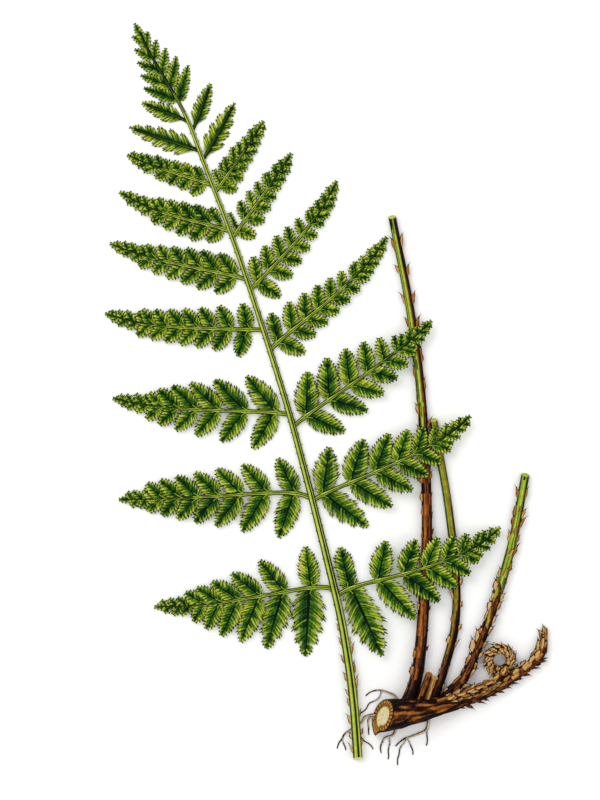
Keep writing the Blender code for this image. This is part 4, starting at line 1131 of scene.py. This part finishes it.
# The cut face from its rim to its centre: share of the rim's reach, height, and the finish of
# the ring that starts there
CUT_RINGS = [
    (1.0, 0.0, "brown_ink"), (0.92, 0.10, "cut_ring"), (0.78, 0.28, "brown_light"), (0.62, 0.18, "olive"),
    (0.56, -0.12, "cut_pale"), (0.30, -0.25, "cut_pale"), (0.0, -0.28, "cut_pale"),
]


def rootstock_shade(angle, along):
    """How light the bark is: streaks, a painted highlight on top, painted shade at its lower edge and a
    painted shadow behind the cut.
    """
    shade = streaks(ROOTSTOCK_ROWS - 1, ROOTSTOCK_COLUMNS, (4, 7, 12, 19), 4.0, 9)
    low = np.minimum(angle, 2.0 * np.pi - angle)
    above = np.sin(angle) > UNDERSIDE
    # Painted highlight on top, painted shade at the lower edge, painted shadow behind the cut
    gain, middle, width = BARK_TOP_HIGHLIGHT
    shade = shade + gain * np.exp(-((angle - middle) / width) ** 2)
    loss, width = BARK_EDGE_SHADE
    shade = shade - loss * above * np.exp(-(low / width) ** 2)
    loss, start, length = BARK_CUT_SHADOW
    return shade + BARK_UNDER * ~above - loss * above * (angle > start) * np.exp(-along / length)


def build_rootstock():
    """The rootstock: streaked, ridged bark, and a cut face with a ring round the pale pith."""
    axis = Route(ROOTSTOCK_AXIS)
    share = np.linspace(0.0, 1.0, ROOTSTOCK_FINE)
    spots = axis.at(axis.length * share)
    radius = np.interp(share, np.linspace(0.0, 1.0, len(ROOTSTOCK_RADII)), ROOTSTOCK_RADII)
    _, right, up = frames(spots)
    angle = np.linspace(0.0, 2.0 * np.pi, ROOTSTOCK_COLUMNS, endpoint=False)
    ring = right[:, None, :] * np.cos(angle)[None, :, None] + up[:, None, :] * np.sin(angle)[None, :, None]
    lines = spots[:, None, :] + ring * radius[:, None, None]
    normal = np.array(ROOTSTOCK_CUT_NORMAL) / np.linalg.norm(ROOTSTOCK_CUT_NORMAL)
    beyond = (lines - np.array(ROOTSTOCK_CUT_POINT)) @ normal
    first = np.argmax(beyond <= 0.0, axis=0)[None, :]
    rows = np.linspace(0.0, 1.0, ROOTSTOCK_ROWS)[:, None] ** ROOTSTOCK_CROWDING
    take = np.round(first + (len(share) - 1 - first) * rows).astype(int)
    column = np.broadcast_to(np.arange(ROOTSTOCK_COLUMNS), take.shape)
    ridges = ROOTSTOCK_RELIEF[0] * streaks(ROOTSTOCK_ROWS, ROOTSTOCK_COLUMNS, (5, 9, 14), 3.0, 5)
    ridges = (ridges + ROOTSTOCK_RELIEF[1]) * smoothstep(0.0, ROOTSTOCK_SMOOTH_SHARE, rows)
    aside = np.abs((angle - CUT_POINT_ANGLE + np.pi) % (2.0 * np.pi) - np.pi)
    drawn = CUT_POINT_REACH * np.exp(-(aside / CUT_POINT_WIDTH) ** 2)
    drawn = drawn - CUT_HOLLOW * np.exp(-((aside - CUT_HOLLOW_ANGLE) / CUT_HOLLOW_WIDTH) ** 2)
    drawn = drawn * np.exp(-rows * axis.length / CUT_POINT_FADE)
    points = lines[take, column] + ring[take, column] * (ridges + ROOTSTOCK_RADII[0] * drawn)[..., None]
    points[..., 2] = np.maximum(points[..., 2], ROOTSTOCK_LEAST_HEIGHT)
    index = closed_rows(ROOTSTOCK_ROWS, ROOTSTOCK_COLUMNS)
    tones = np.array([NUMBER[name] for name in ROOTSTOCK_TONES])
    numbers = tones[np.searchsorted(ROOTSTOCK_TONE_LIMITS, rootstock_shade(angle, rows[1:] * axis.length))]
    rim = points[0]
    centre = rim.mean(axis=0)
    face = [centre + (rim - centre) * reach + normal * lift for reach, lift, _ in CUT_RINGS[1:-1]]
    middle = centre + normal * CUT_RINGS[-1][1]
    face_index = closed_rows(len(CUT_RINGS) - 1, ROOTSTOCK_COLUMNS)
    face_index = face_index + (ROOTSTOCK_ROWS - 1) * ROOTSTOCK_COLUMNS
    face_index[0] = index[0]
    last = int(face_index.max()) + 1
    tinted = np.array([[NUMBER[name]] * ROOTSTOCK_COLUMNS for _, _, name in CUT_RINGS[:-1]])
    stroke = (np.arange(ROOTSTOCK_COLUMNS) % CUT_STROKES == 0) & (aside > CUT_STROKE_START)
    tinted[1:3, stroke] = NUMBER["brown_deep"]
    shape = Shape()
    shape.add(
        np.vstack([points.reshape(-1, 3), np.vstack(face), middle, points[-1].mean(axis=0)]),
        np.vstack([grid(index), grid(face_index, turned=True), fan(face_index[-1], last),
                   fan(index[-1], last + 1, turned=True)]),
        np.concatenate([numbers.ravel(), tinted.ravel(), np.full(ROOTSTOCK_COLUMNS, NUMBER["brown_ink"])]))
    shape.build("rootstock_bark", "rootstock", "rootstock")


# Coiled young frond, as in the part's source
CROZIER_ROUTE = [
    (60.5, -169.0, 9.6), (67.4, -166.8, 10.6), (75.9, -164.0, 9.8), (84.3, -160.9, 8.6),
    (92.7, -156.8, 7.6), (97.6, -151.6, 6.4),
]
CROZIER_RADII = (2.3, 2.1)
COIL_CENTRE = (94.4, -146.2, 4.6)
COIL_RING_RADIUS = 5.9
COIL_TUBE_RADIUS = 2.8
COIL_TILT = math.radians(14.0)
COIL_TILT_HEADING = math.radians(-60.0)
# Its bark is a little thinner than the solid, because scales cover it
CROZIER_BARK = 0.86
COIL_BARK = 0.9
CROZIER_ROWS = 24
CROZIER_SIDES = 16
CROZIER_RIDGES = 0.05
CROZIER_BAND_WANDER = 0.1
# Bands across the coiled frond's stalk, partly painted light: lighter left of the middle as a painted
# highlight, darker to the right and at the left edge as painted shade
CROZIER_LIGHT_AND_SHADE_BANDS = [
    (-0.8, "brown_deep"), (-0.3, "scale_ochre"), (0.1, "brown"), (0.5, "brown_deep"), (1.0, "brown_ink"),
]
CROZIER_SCALES = [
    (-1.25, 0.14, 0.96, 4.6, 5.2, 1.3, -4, "ochre"), (1.25, 0.14, 0.96, 4.6, 5.2, 1.3, -4, "tan"),
    (1.7, 0.20, 0.94, 5.6, 5.0, 1.3, 0, "ochre"), (-0.95, 0.10, 0.97, 4.2, 5.4, 1.35, 8, "tan"),
    (-0.35, 0.10, 0.97, 4.8, 5.8, 1.45, 2, "tan"), (0.3, 0.14, 0.95, 6.5, 5.4, 1.3, 0, "ochre"),
    (0.95, 0.14, 0.90, 6.0, 4.6, 1.0, 10, "tan"),
]
# Rows of scales round the ring: place round its tube in half turns from its outer side, number,
# length and half width
COIL_ROWS = 48
COIL_SCALE_LEAN = 8.0
COIL_SCALE_CURL = -0.10
COIL_TURN_SPREAD = 0.25
COIL_LIFT_SPREAD = 0.03
COIL_SCALE_SEAT = 0.96
COIL_SCALES = [
    (-0.20, 16, 4.8, 1.35), (0.04, 17, 5.2, 1.45), (0.26, 16, 5.2, 1.5), (0.46, 14, 4.8, 1.4),
    (0.66, 12, 4.2, 1.3), (0.86, 10, 3.6, 1.1), (1.06, 9, 3.0, 0.9),
]


def add_coil(shape):
    """The scaly ring, tilted on the surface."""
    aslant = math.sin(COIL_TILT)
    upward = np.array([aslant * math.cos(COIL_TILT_HEADING), aslant * math.sin(COIL_TILT_HEADING),
                       math.cos(COIL_TILT)])
    side = np.cross(upward, (0.0, 1.0, 0.0))
    side /= np.linalg.norm(side)
    front = np.cross(upward, side)
    turns = np.linspace(0.0, 2.0 * np.pi, COIL_ROWS + 1)
    out = side * np.cos(turns)[:, None] + front * np.sin(turns)[:, None]
    centre = np.array(COIL_CENTRE)
    angle = np.linspace(0.0, 2.0 * np.pi, CROZIER_SIDES, endpoint=False)
    tube = COIL_TUBE_RADIUS * COIL_BARK
    spread = COIL_RING_RADIUS + tube * np.cos(angle)
    rings = centre + out[:, None, :] * spread[None, :, None] + upward * (tube * np.sin(angle))[None, :, None]
    index = closed_rows(COIL_ROWS, CROZIER_SIDES)
    index = np.concatenate([index, index[:1]], axis=0)
    choices = np.array([NUMBER["brown_deep"], NUMBER["brown_ink"]])
    numbers = choices[RNG.integers(0, 2, (COIL_ROWS, CROZIER_SIDES))]
    shape.add(rings[:-1], grid(index), numbers.ravel())
    for lie, count, size, half_width in COIL_SCALES:
        for number in range(count):
            turn = 2.0 * math.pi * (number + RNG.uniform(-COIL_TURN_SPREAD, COIL_TURN_SPREAD)) / count
            outward = side * math.cos(turn) + front * math.sin(turn)
            onward = front * math.cos(turn) - side * math.sin(turn)
            lift = math.pi * (lie + RNG.uniform(-COIL_LIFT_SPREAD, COIL_LIFT_SPREAD))
            normal = outward * math.cos(lift) + upward * math.sin(lift)
            foot = centre + outward * COIL_RING_RADIUS + normal * tube * COIL_SCALE_SEAT
            away = outward * math.sin(lift) - upward * math.cos(lift)
            draw_scale(shape, foot, onward, away, normal, (size, half_width), COIL_SCALE_LEAN, "tan",
                       COIL_SCALE_CURL)


def build_crozier():
    """The coiled young frond: a scaly stalk that runs into a scaly ring."""
    route = Route(CROZIER_ROUTE)
    places = np.linspace(0.0, route.length, CROZIER_ROWS)
    path = route.at(places)
    radius = np.interp(places, (0.0, route.length), CROZIER_RADII) * CROZIER_BARK
    relief = CROZIER_RIDGES * streaks(CROZIER_ROWS, CROZIER_SIDES, (3, 5), 2.0, 71)
    section, middle = round_section(radius, CROZIER_SIDES, relief)
    wander = CROZIER_BAND_WANDER * streaks(CROZIER_ROWS - 1, CROZIER_SIDES, (2, 3), 3.0, 72)
    # Painted highlight and painted shade in bands across the stalk
    numbers = bands(np.cos(middle)[None, :] + wander, CROZIER_LIGHT_AND_SHADE_BANDS)
    shape = Shape()
    sweep(shape, path, section, without_lines(numbers, middle, 110))
    scales_along(shape, path, radius, CROZIER_SCALES, places)
    add_coil(shape)
    shape.build("crozier_scaly", "scaly", "crozier")


# Thin roots. From the part's source: foot height, then plan routes of the root and its branches
ROOT_RADII = (0.55, 0.28)
ROOT_DROP = 9.0
ROOT_BRANCH_LIFT = 0.02
ROOT_BRANCH_THICKNESS = 0.7
ROOTS = {
    "root_upper": (4.0, [
        [(42.0, -171.5), (36.5, -166.0), (29.5, -163.2), (23.6, -164.1), (21.1, -166.2)],
        [(29.5, -163.3), (28.3, -167.5), (23.6, -170.0), (21.4, -173.0), (18.0, -176.4)],
    ]),
    "root_left": (3.4, [
        [(31.5, -176.0), (22.0, -177.2), (18.4, -180.9), (12.7, -184.6), (8.5, -188.5), (5.1, -195.2)],
        [(15.0, -183.2), (18.6, -189.4), (22.8, -192.7), (25.4, -195.6)],
        [(8.5, -188.4), (8.6, -192.0), (10.2, -196.1)],
    ]),
    "root_small": (2.6, [
        [(31.5, -180.0), (25.0, -177.8), (22.4, -180.4), (22.9, -187.6)],
    ]),
    "root_lower": (2.2, [
        [(40.5, -177.5), (38.4, -183.4), (36.3, -187.6), (32.1, -189.3), (29.5, -192.6), (29.5, -197.7)],
        [(34.6, -188.4), (33.8, -194.4), (33.3, -201.1)],
    ]),
    "root_right": (2.2, [
        [(55.2, -175.0), (54.8, -184.3), (46.4, -188.5), (41.4, -190.2), (37.6, -194.0)],
        [(44.0, -189.2), (39.7, -196.1), (38.4, -204.4)],
        [(43.4, -189.3), (46.4, -194.5), (46.8, -198.6)],
        [(54.7, -183.2), (54.9, -188.0), (54.5, -193.6)],
    ]),
}
ROOT_THICK = {"root_upper": 1.2, "root_left": 1.35, "root_small": 1.2, "root_lower": 1.6, "root_right": 1.7}
ROOT_THIN = 1.1
ROOT_TAPER = 1.1
ROOT_STEP = 0.8
ROOT_SIDES = 10
ROOT_WIGGLE = 0.22
ROOT_WAVES = 0.9
ROOT_RIDGES = 0.16
ROOT_PALE_BAND = (-0.80, 0.25)
ROOT_PALE_END = (0.60, 0.25)
ROOT_PALE_END_SPREAD = 0.25


def build_roots():
    """Thin branching roots: a pale line between dark edges, and dark towards their ends."""
    for number, (name, (foot, routes)) in enumerate(ROOTS.items()):
        shape = Shape()
        for branch, plan in enumerate(routes):
            route = Route(plan)
            rows = max(8, round(route.length / ROOT_STEP))
            share = np.linspace(0.0, 1.0, rows)
            spots = route.at(route.length * share)
            thick = ROOT_RADII[0] * (ROOT_BRANCH_THICKNESS if branch else ROOT_THICK[name])
            radius = mix((thick, ROOT_RADII[1] * ROOT_THIN), share ** ROOT_TAPER)
            height = radius + ROOT_BRANCH_LIFT * branch
            if branch == 0:
                height = height + (foot - radius) * (1.0 - smoothstep(0.0, ROOT_DROP, route.length * share))
            wiggle = ROOT_WIGGLE * np.sin(share * route.length * ROOT_WAVES + number + branch)
            path = np.stack([spots[:, 0] + wiggle, spots[:, 1], height], axis=1)
            relief = ROOT_RIDGES * streaks(rows, ROOT_SIDES, (1, 2), 12.0, 80 + number + branch)
            section, middle = round_section(radius, ROOT_SIDES, relief)
            across = np.cos(middle)[None, :]
            pale_end = ROOT_PALE_END[min(branch, 1)] + ROOT_PALE_END_SPREAD * RNG.random((rows - 1, 1))
            dark = (across > ROOT_PALE_BAND[1]) | (across < ROOT_PALE_BAND[0]) | (share[:-1, None] > pale_end)
            numbers = np.where(dark, NUMBER["root_line"], NUMBER["root_pale"])
            sweep(shape, path, section, numbers, caps=("root_line", "root_line"))
        shape.build(name + "_fine", "root", name)


class Frond:
    """The frond's stalk, ribs and blades."""

    def __init__(self):
        self.stalk = Route(STALK_ROUTE, fine=60)
        self.sori = Shape()
        self.under = [Route(STEMS[name]["route"]) for name in ("stipe_tall", "stipe_middle")]

    def raised(self, height, x, y):
        """A blade height, raised where the frond lies over the cut stalks."""
        if np.max(x) < 0.0:
            return height
        near = np.minimum(*(route.plan_distance(x, y) for route in self.under))
        share = 1.0 - smoothstep(RISE_NEAR, RISE_FAR, near)
        share = share * (1.0 - smoothstep(RISE_FULL_Y, RISE_TOP_Y, y))
        low_y, low_height = RISE_HEIGHT_LOW_Y
        high_y, high_height = RISE_HEIGHT_HIGH_Y
        along = np.clip((y - low_y) / (high_y - low_y), 0.0, 1.0)
        top = low_height + (high_height - low_height) * along
        return height + (np.maximum(top, height) - height) * share

    def rib_path(self, side, foot, length, headings):
        """Plan route of a rib from the stalk's axis to its tip."""
        start, middle, tip = headings
        steps = round(length)
        share = (np.arange(steps) + 0.5) / steps
        angle = middle + (start - middle) * np.exp(-share / RIB_FIRST_TURN)
        angle += (tip - middle) * share ** RIB_LAST_TURN
        if side == "left":
            angle = 180.0 - angle
        turn = np.radians(angle)
        root = self.stalk.at(foot)[:2]
        moves = np.stack([np.cos(turn), np.sin(turn)], axis=1) * length / steps
        return Route(np.vstack([root, root + np.cumsum(moves, axis=0)]), fine=1)

    def leaflet(self, shape, root, angle, length, width_ratio, height, foot, outline=None):
        """One leaflet or lobe, straight from its root in the rib.

        foot is the place on the stalk that it keeps clear of, or None for the frond's own tip.
        """
        turn = math.radians(angle)
        ahead = np.array([math.cos(turn), math.sin(turn)])
        outline = outline or between(SHORT_OUTLINE, LONG_OUTLINE, length)

        def place(along, left):
            return (root[0] + ahead[0] * along - ahead[1] * left,
                    root[1] + ahead[1] * along + ahead[0] * left)

        def half_width(along):
            x, y = place(along, 0.0)
            wanted = length * width_ratio / 2.0 * leaflet_outline(along / length, outline)
            if foot is None:
                return wanted
            room = self.stalk.plan_distance(x, y) - stalk_radius(foot) - LEAFLET_STALK_CLEARANCE
            return np.minimum(wanted, np.maximum(LEAST_HALF_WIDTH, room))

        def level(along, x, y):
            return self.raised(np.maximum(LOWEST_BLADE, height - LEAFLET_DROOP * along), x, y)
        lobing = between(SHORT_LOBES, LONG_LOBES, length)
        add_sori(self.sori, *blade(shape, place, length, half_width, level, lobing))

    def lobes(self, shape, rib, start, envelope, level_at, foot):
        """Overlapping lobes along the end of a rib, and the last one along the rib itself.

        envelope(share) is half the width over their tips and level_at(distance) their height.
        """
        length = rib.length - start
        along = FIRST_LOBE
        while along < length - LAST_LOBE:
            share = along / length
            gap = LOBE_SPACING * (1.0 - LOBE_CROWDING * share) * RNG.uniform(*LOBE_GAP_SPREAD)
            heading = math.degrees(rib.heading(start + along))
            for side in (1.0, -1.0):
                spot = start + along + (LOBE_STAGGER * gap if side < 0.0 else 0.0)
                lean = LOBE_LEAN + RNG.uniform(-LOBE_LEAN_SPREAD, LOBE_LEAN_SPREAD)
                half = envelope(share)
                for _ in range(5):
                    onward = share + half / math.tan(math.radians(lean)) / length
                    half = 0.5 * (half + envelope(min(1.0, onward)))
                reach = half / math.sin(math.radians(lean)) * RNG.uniform(*LOBE_REACH_SPREAD)
                ratio = min(LOBE_WIDEST, LOBE_WIDTH * gap / reach)
                self.leaflet(shape, rib.at(spot), heading + side * lean, reach, ratio, level_at(spot), foot,
                             SESSILE_OUTLINE)
            along += gap
        last = rib.length - LAST_LOBE - 1.0
        self.leaflet(shape, rib.at(last), math.degrees(rib.heading(last)), LAST_LOBE + 1.0, LAST_LOBE_WIDTH,
                     level_at(last), foot, SESSILE_OUTLINE)

    def rib(self, shape, rib, start, end, root_radius, height_at, feet, pale):
        """A grooved rib with painted shade on its edges and in its groove, and narrow wings that widen at the
        feet of its leaflets.

        pale is the share of its length that is paler than the leaflets.
        """
        places = np.linspace(start, end, max(8, round((end - start) / RIB_STEP)))
        share = (places - start) / (end - start)
        radius = mix((root_radius, RIB_TIP_RADIUS), share)
        flare = np.zeros_like(places)
        for foot in feet:
            flare = np.maximum(flare, np.exp(-((places - foot) / RIB_WING_FLARE) ** 2))
        wing = RIB_WING[0] * radius + RIB_WING[1] + RIB_WING[2] * flare
        inner = wing - (RIB_EDGE[0] + RIB_EDGE[1] * radius)
        line = np.minimum(RIB_LINE, RIB_WIDEST_LINE * wing)
        spots = rib.at(places)
        heights = self.raised(height_at(places / rib.length), spots[:, 0], spots[:, 1])
        path = np.stack([spots[:, 0], spots[:, 1], heights], axis=1)
        edge = np.zeros_like(radius)
        lip = edge + RIB_EDGE_LIFT
        profile = [
            (-wing, edge), (-inner, lip), (-line, RIB_LEFT_CREST * radius + RIB_CREST),
            (edge, RIB_GROOVE * radius + RIB_CREST), (line, RIB_RIGHT_CREST * radius + RIB_CREST),
            (inner, lip), (wing, edge), (RIB_UNDER_WIDTH * wing, RIB_UNDER_EDGE * radius),
            (edge, RIB_UNDER_MIDDLE * radius), (-RIB_UNDER_WIDTH * wing, RIB_UNDER_EDGE * radius),
        ]
        section = np.stack([np.stack([right, up], axis=1) for right, up in profile], axis=1)
        near, far = (np.array([NUMBER[name] for name in names + ("leaf_under",) * RIB_UNDER_FACES])
                     for names in (RIB_FINISHES, RIB_FAR_FINISHES))
        # Painted highlight on the rib's left slope, painted shade on its edges and in its groove
        numbers = np.where(share[:-1, None] < pale, near, far)
        sweep(shape, path, section, numbers, caps=("stalk_olive", "leaf_ink"))

    def vein(self, shape, root, angle, length, height, top, heading):
        """The raised midrib of a leaflet, green where it curves out of its rib, and beyond that dark with
        painted shade.
        """
        turn = math.radians(angle)
        along = np.linspace(0.0, length, max(7, round(length / VEIN_STEP)))
        slip = VEIN_SLIP * np.exp(-along / VEIN_FALL)
        x = root[0] + math.cos(turn) * along - math.cos(heading) * slip
        y = root[1] + math.sin(turn) * along - math.sin(heading) * slip
        level = self.raised(np.maximum(LOWEST_BLADE, height - LEAFLET_DROOP * along), x, y)
        rise = max(0.0, top - VEIN_LIFT) * np.exp(-along / VEIN_FALL)
        path = np.stack([x, y, level + VEIN_LIFT + rise], axis=1)
        section, _ = round_section(np.linspace(VEIN_RADIUS, VEIN_TAPER * VEIN_RADIUS, len(along)), 5)
        # Beyond its green start the midrib is painted shade
        numbers = np.where(along[:-1] < VEIN_GREEN, NUMBER["stalk_lime"], NUMBER["leaf_ink"])[:, None]
        sweep(shape, path, section, numbers, caps=("stalk_lime", "leaf_ink"))

    def pinna(self, name, rib_sizes, blade_sizes):
        """One pinna: its rib, its leaflet pairs and its undivided tip."""
        side, foot, length, headings, pairs = rib_sizes
        roots, crowding, upper, lower, upper_angles, lower_angles, tip = blade_sizes
        rib = self.rib_path(side, foot, length, headings)
        up = 1.0 if side == "right" else -1.0
        root_radius = RIB_LEAST_ROOT_RADIUS + RIB_RADIUS_PER_LENGTH * length
        foot_height = float(stalk_height(foot))

        def flat_height(share):
            return mix((foot_height, LOWEST_BLADE), share) + PINNA_ARCH * length * np.sin(np.pi * share)

        blades = Shape()
        ribs = Shape()
        feet = []
        for index in range(pairs):
            share = index / (pairs - 1)
            distance = mix(roots, share + crowding * share * (1.0 - share))
            later = (index - 1) / max(1, pairs - 2)
            lower_length = lower[0] if index == 0 else mix(lower[1:], later)
            upper_length = mix(upper, share ** UPPER_LENGTH_POWER)
            upper_angle = upper_angles[1] + (upper_angles[0] - upper_angles[1]) * UPPER_CALMING ** index
            lower_angle = lower_angles[1] + (lower_angles[0] - lower_angles[1]) * LOWER_CALMING ** index
            heading = math.degrees(rib.heading(distance))
            feet += [distance, distance + LEAFLET_ROOT_STAGGER]
            for spot, angle, size, ratio in (
                (feet[-2], heading + up * upper_angle, upper_length,
                 leaflet_width(upper_length, side == "right")),
                (feet[-1], heading - up * lower_angle, lower_length, leaflet_width(lower_length, False)),
            ):
                level = flat_height(spot / length)
                rib_top = RIB_RIGHT_CREST * mix((root_radius, RIB_TIP_RADIUS), spot / length) + RIB_CREST
                self.leaflet(blades, rib.at(spot), angle, size, LEAFLET_SPREAD * ratio, level, foot)
                self.vein(ribs, rib.at(spot), angle, size * VEIN_SHARE, level, rib_top, math.radians(heading))
        if pairs:
            self.lobes(blades, rib, roots[1] + TIP_BLADE_SETBACK,
                       lambda share: tip * float(tip_outline(share)),
                       lambda distance: flat_height(distance / length), foot)
        else:
            start = rib.at(roots[0])
            across = rib.at(rib.length) - start
            size = float(np.hypot(across[0], across[1]))
            self.leaflet(blades, start, math.degrees(math.atan2(across[1], across[0])), size,
                         2.0 * tip / size, foot_height, foot)
        blades.build("leaf_" + name, "leaf", name)
        self.rib(ribs, rib, float(stalk_radius(foot)) * RIB_START, length - RIB_END, root_radius, flat_height,
                 feet, RIB_PALE_SHARE if pairs else 0.0)
        ribs.build("rib_" + name, "leaf", name)

    def apex(self):
        """The top of the frond, a rib with simple lobes that grow shorter to the tip."""
        start = STALK_END + APEX_GAP
        rib = Route([self.stalk.at(start + step) for step in range(round(FROND_LENGTH - start))], fine=1)
        first = float(stalk_height(STALK_END))

        def height_at(share):
            return first * (1.0 - share) + LOWEST_BLADE * share
        lobes = Shape()
        for index in range(APEX_PAIRS):
            share = index / (APEX_PAIRS - 1)
            distance = mix(APEX_ROOTS, share)
            for turn, shift, lengths, angles in (
                (-1.0, 0.0, APEX_RIGHT_LENGTHS, APEX_RIGHT_ANGLES),
                (1.0, LEAFLET_ROOT_STAGGER, APEX_LEFT_LENGTHS, APEX_LEFT_ANGLES),
            ):
                heading = math.degrees(rib.heading(distance)) + turn * mix(angles, share)
                self.leaflet(lobes, rib.at(distance + shift), heading, mix(lengths, share),
                             mix(APEX_LOBE_WIDTHS, share), height_at(distance / rib.length), None,
                             APEX_OUTLINE)
        tip_start = APEX_ROOTS[1] - APEX_TIP_OVERLAP
        size = rib.length - tip_start
        self.leaflet(lobes, rib.at(tip_start), math.degrees(rib.heading(tip_start)), size,
                     APEX_TIP_WIDTH / size, height_at(tip_start / rib.length), None, APEX_OUTLINE)
        lobes.build("leaf_frond_apex", "leaf", "frond_apex")
        ribs = Shape()
        self.rib(ribs, rib, -APEX_RIB_OVERLAP, rib.length - APEX_RIB_END, APEX_RIB_RADIUS, height_at, [],
                 APEX_RIB_PALE_SHARE)
        ribs.build("rib_frond_apex", "leaf", "frond_apex")

    def build(self):
        """Stalk, pinnae numbered from the foot of the frond on each side, and the tip."""
        numbers = {"left": 0, "right": 0}
        for rib_sizes, blade_sizes in zip(PINNA_RIBS, PINNA_BLADES):
            side = rib_sizes[0]
            numbers[side] += 1
            self.pinna(f"pinna_{side}_{numbers[side]}", rib_sizes, blade_sizes)
        self.apex()
        self.sori.build("sori", "leaf")
        build_frond_stalk(self.stalk)


def build_stage():
    """A plain pale floor, soft light and the camera straight above."""
    mesh = bpy.data.meshes.new("floor")
    corners = [(-FLOOR_HALF, -FLOOR_HALF, 0), (FLOOR_HALF, -FLOOR_HALF, 0),
               (FLOOR_HALF, FLOOR_HALF, 0), (-FLOOR_HALF, FLOOR_HALF, 0)]
    mesh.from_pydata(corners, [], [(0, 1, 2, 3)])
    floor = bpy.data.objects.new("floor", mesh)
    floor.data.materials.append(MATERIALS["floor"])
    bpy.context.scene.collection.objects.link(floor)
    world = bpy.data.worlds.new("studio")
    bpy.context.scene.world = world
    world.use_nodes = True
    sky = world.node_tree.nodes["Background"]
    sky.inputs["Color"].default_value = (1.0, 1.0, 1.0, 1.0)
    sky.inputs["Strength"].default_value = DAYLIGHT
    for name, (place, width, power) in LAMPS.items():
        lamp = bpy.data.lights.new(name, "AREA")
        lamp.size = width
        lamp.energy = power
        holder = bpy.data.objects.new(name, lamp)
        holder.location = place
        holder.rotation_euler = (-Vector(place)).to_track_quat("-Z", "Y").to_euler()
        holder.visible_camera = False
        bpy.context.scene.collection.objects.link(holder)
    eye = bpy.data.cameras.new("camera")
    eye.lens = CAMERA_LENS
    eye.sensor_width = CAMERA_SENSOR
    eye.clip_end = CAMERA_REACH * MM
    camera = bpy.data.objects.new("camera", eye)
    camera.location = Vector((*CAMERA_AIM, CAMERA_HEIGHT)) * MM
    bpy.context.scene.collection.objects.link(camera)
    bpy.context.scene.camera = camera
    bpy.context.scene.view_settings.view_transform = "Standard"


MATERIALS = {name: make_material(name) for name in FINISHES}
build_stage()
Frond().build()
build_rootstock()
for number, (name, stem) in enumerate(STEMS.items()):
    build_stem(number, name, **stem)
build_crozier()
build_roots()
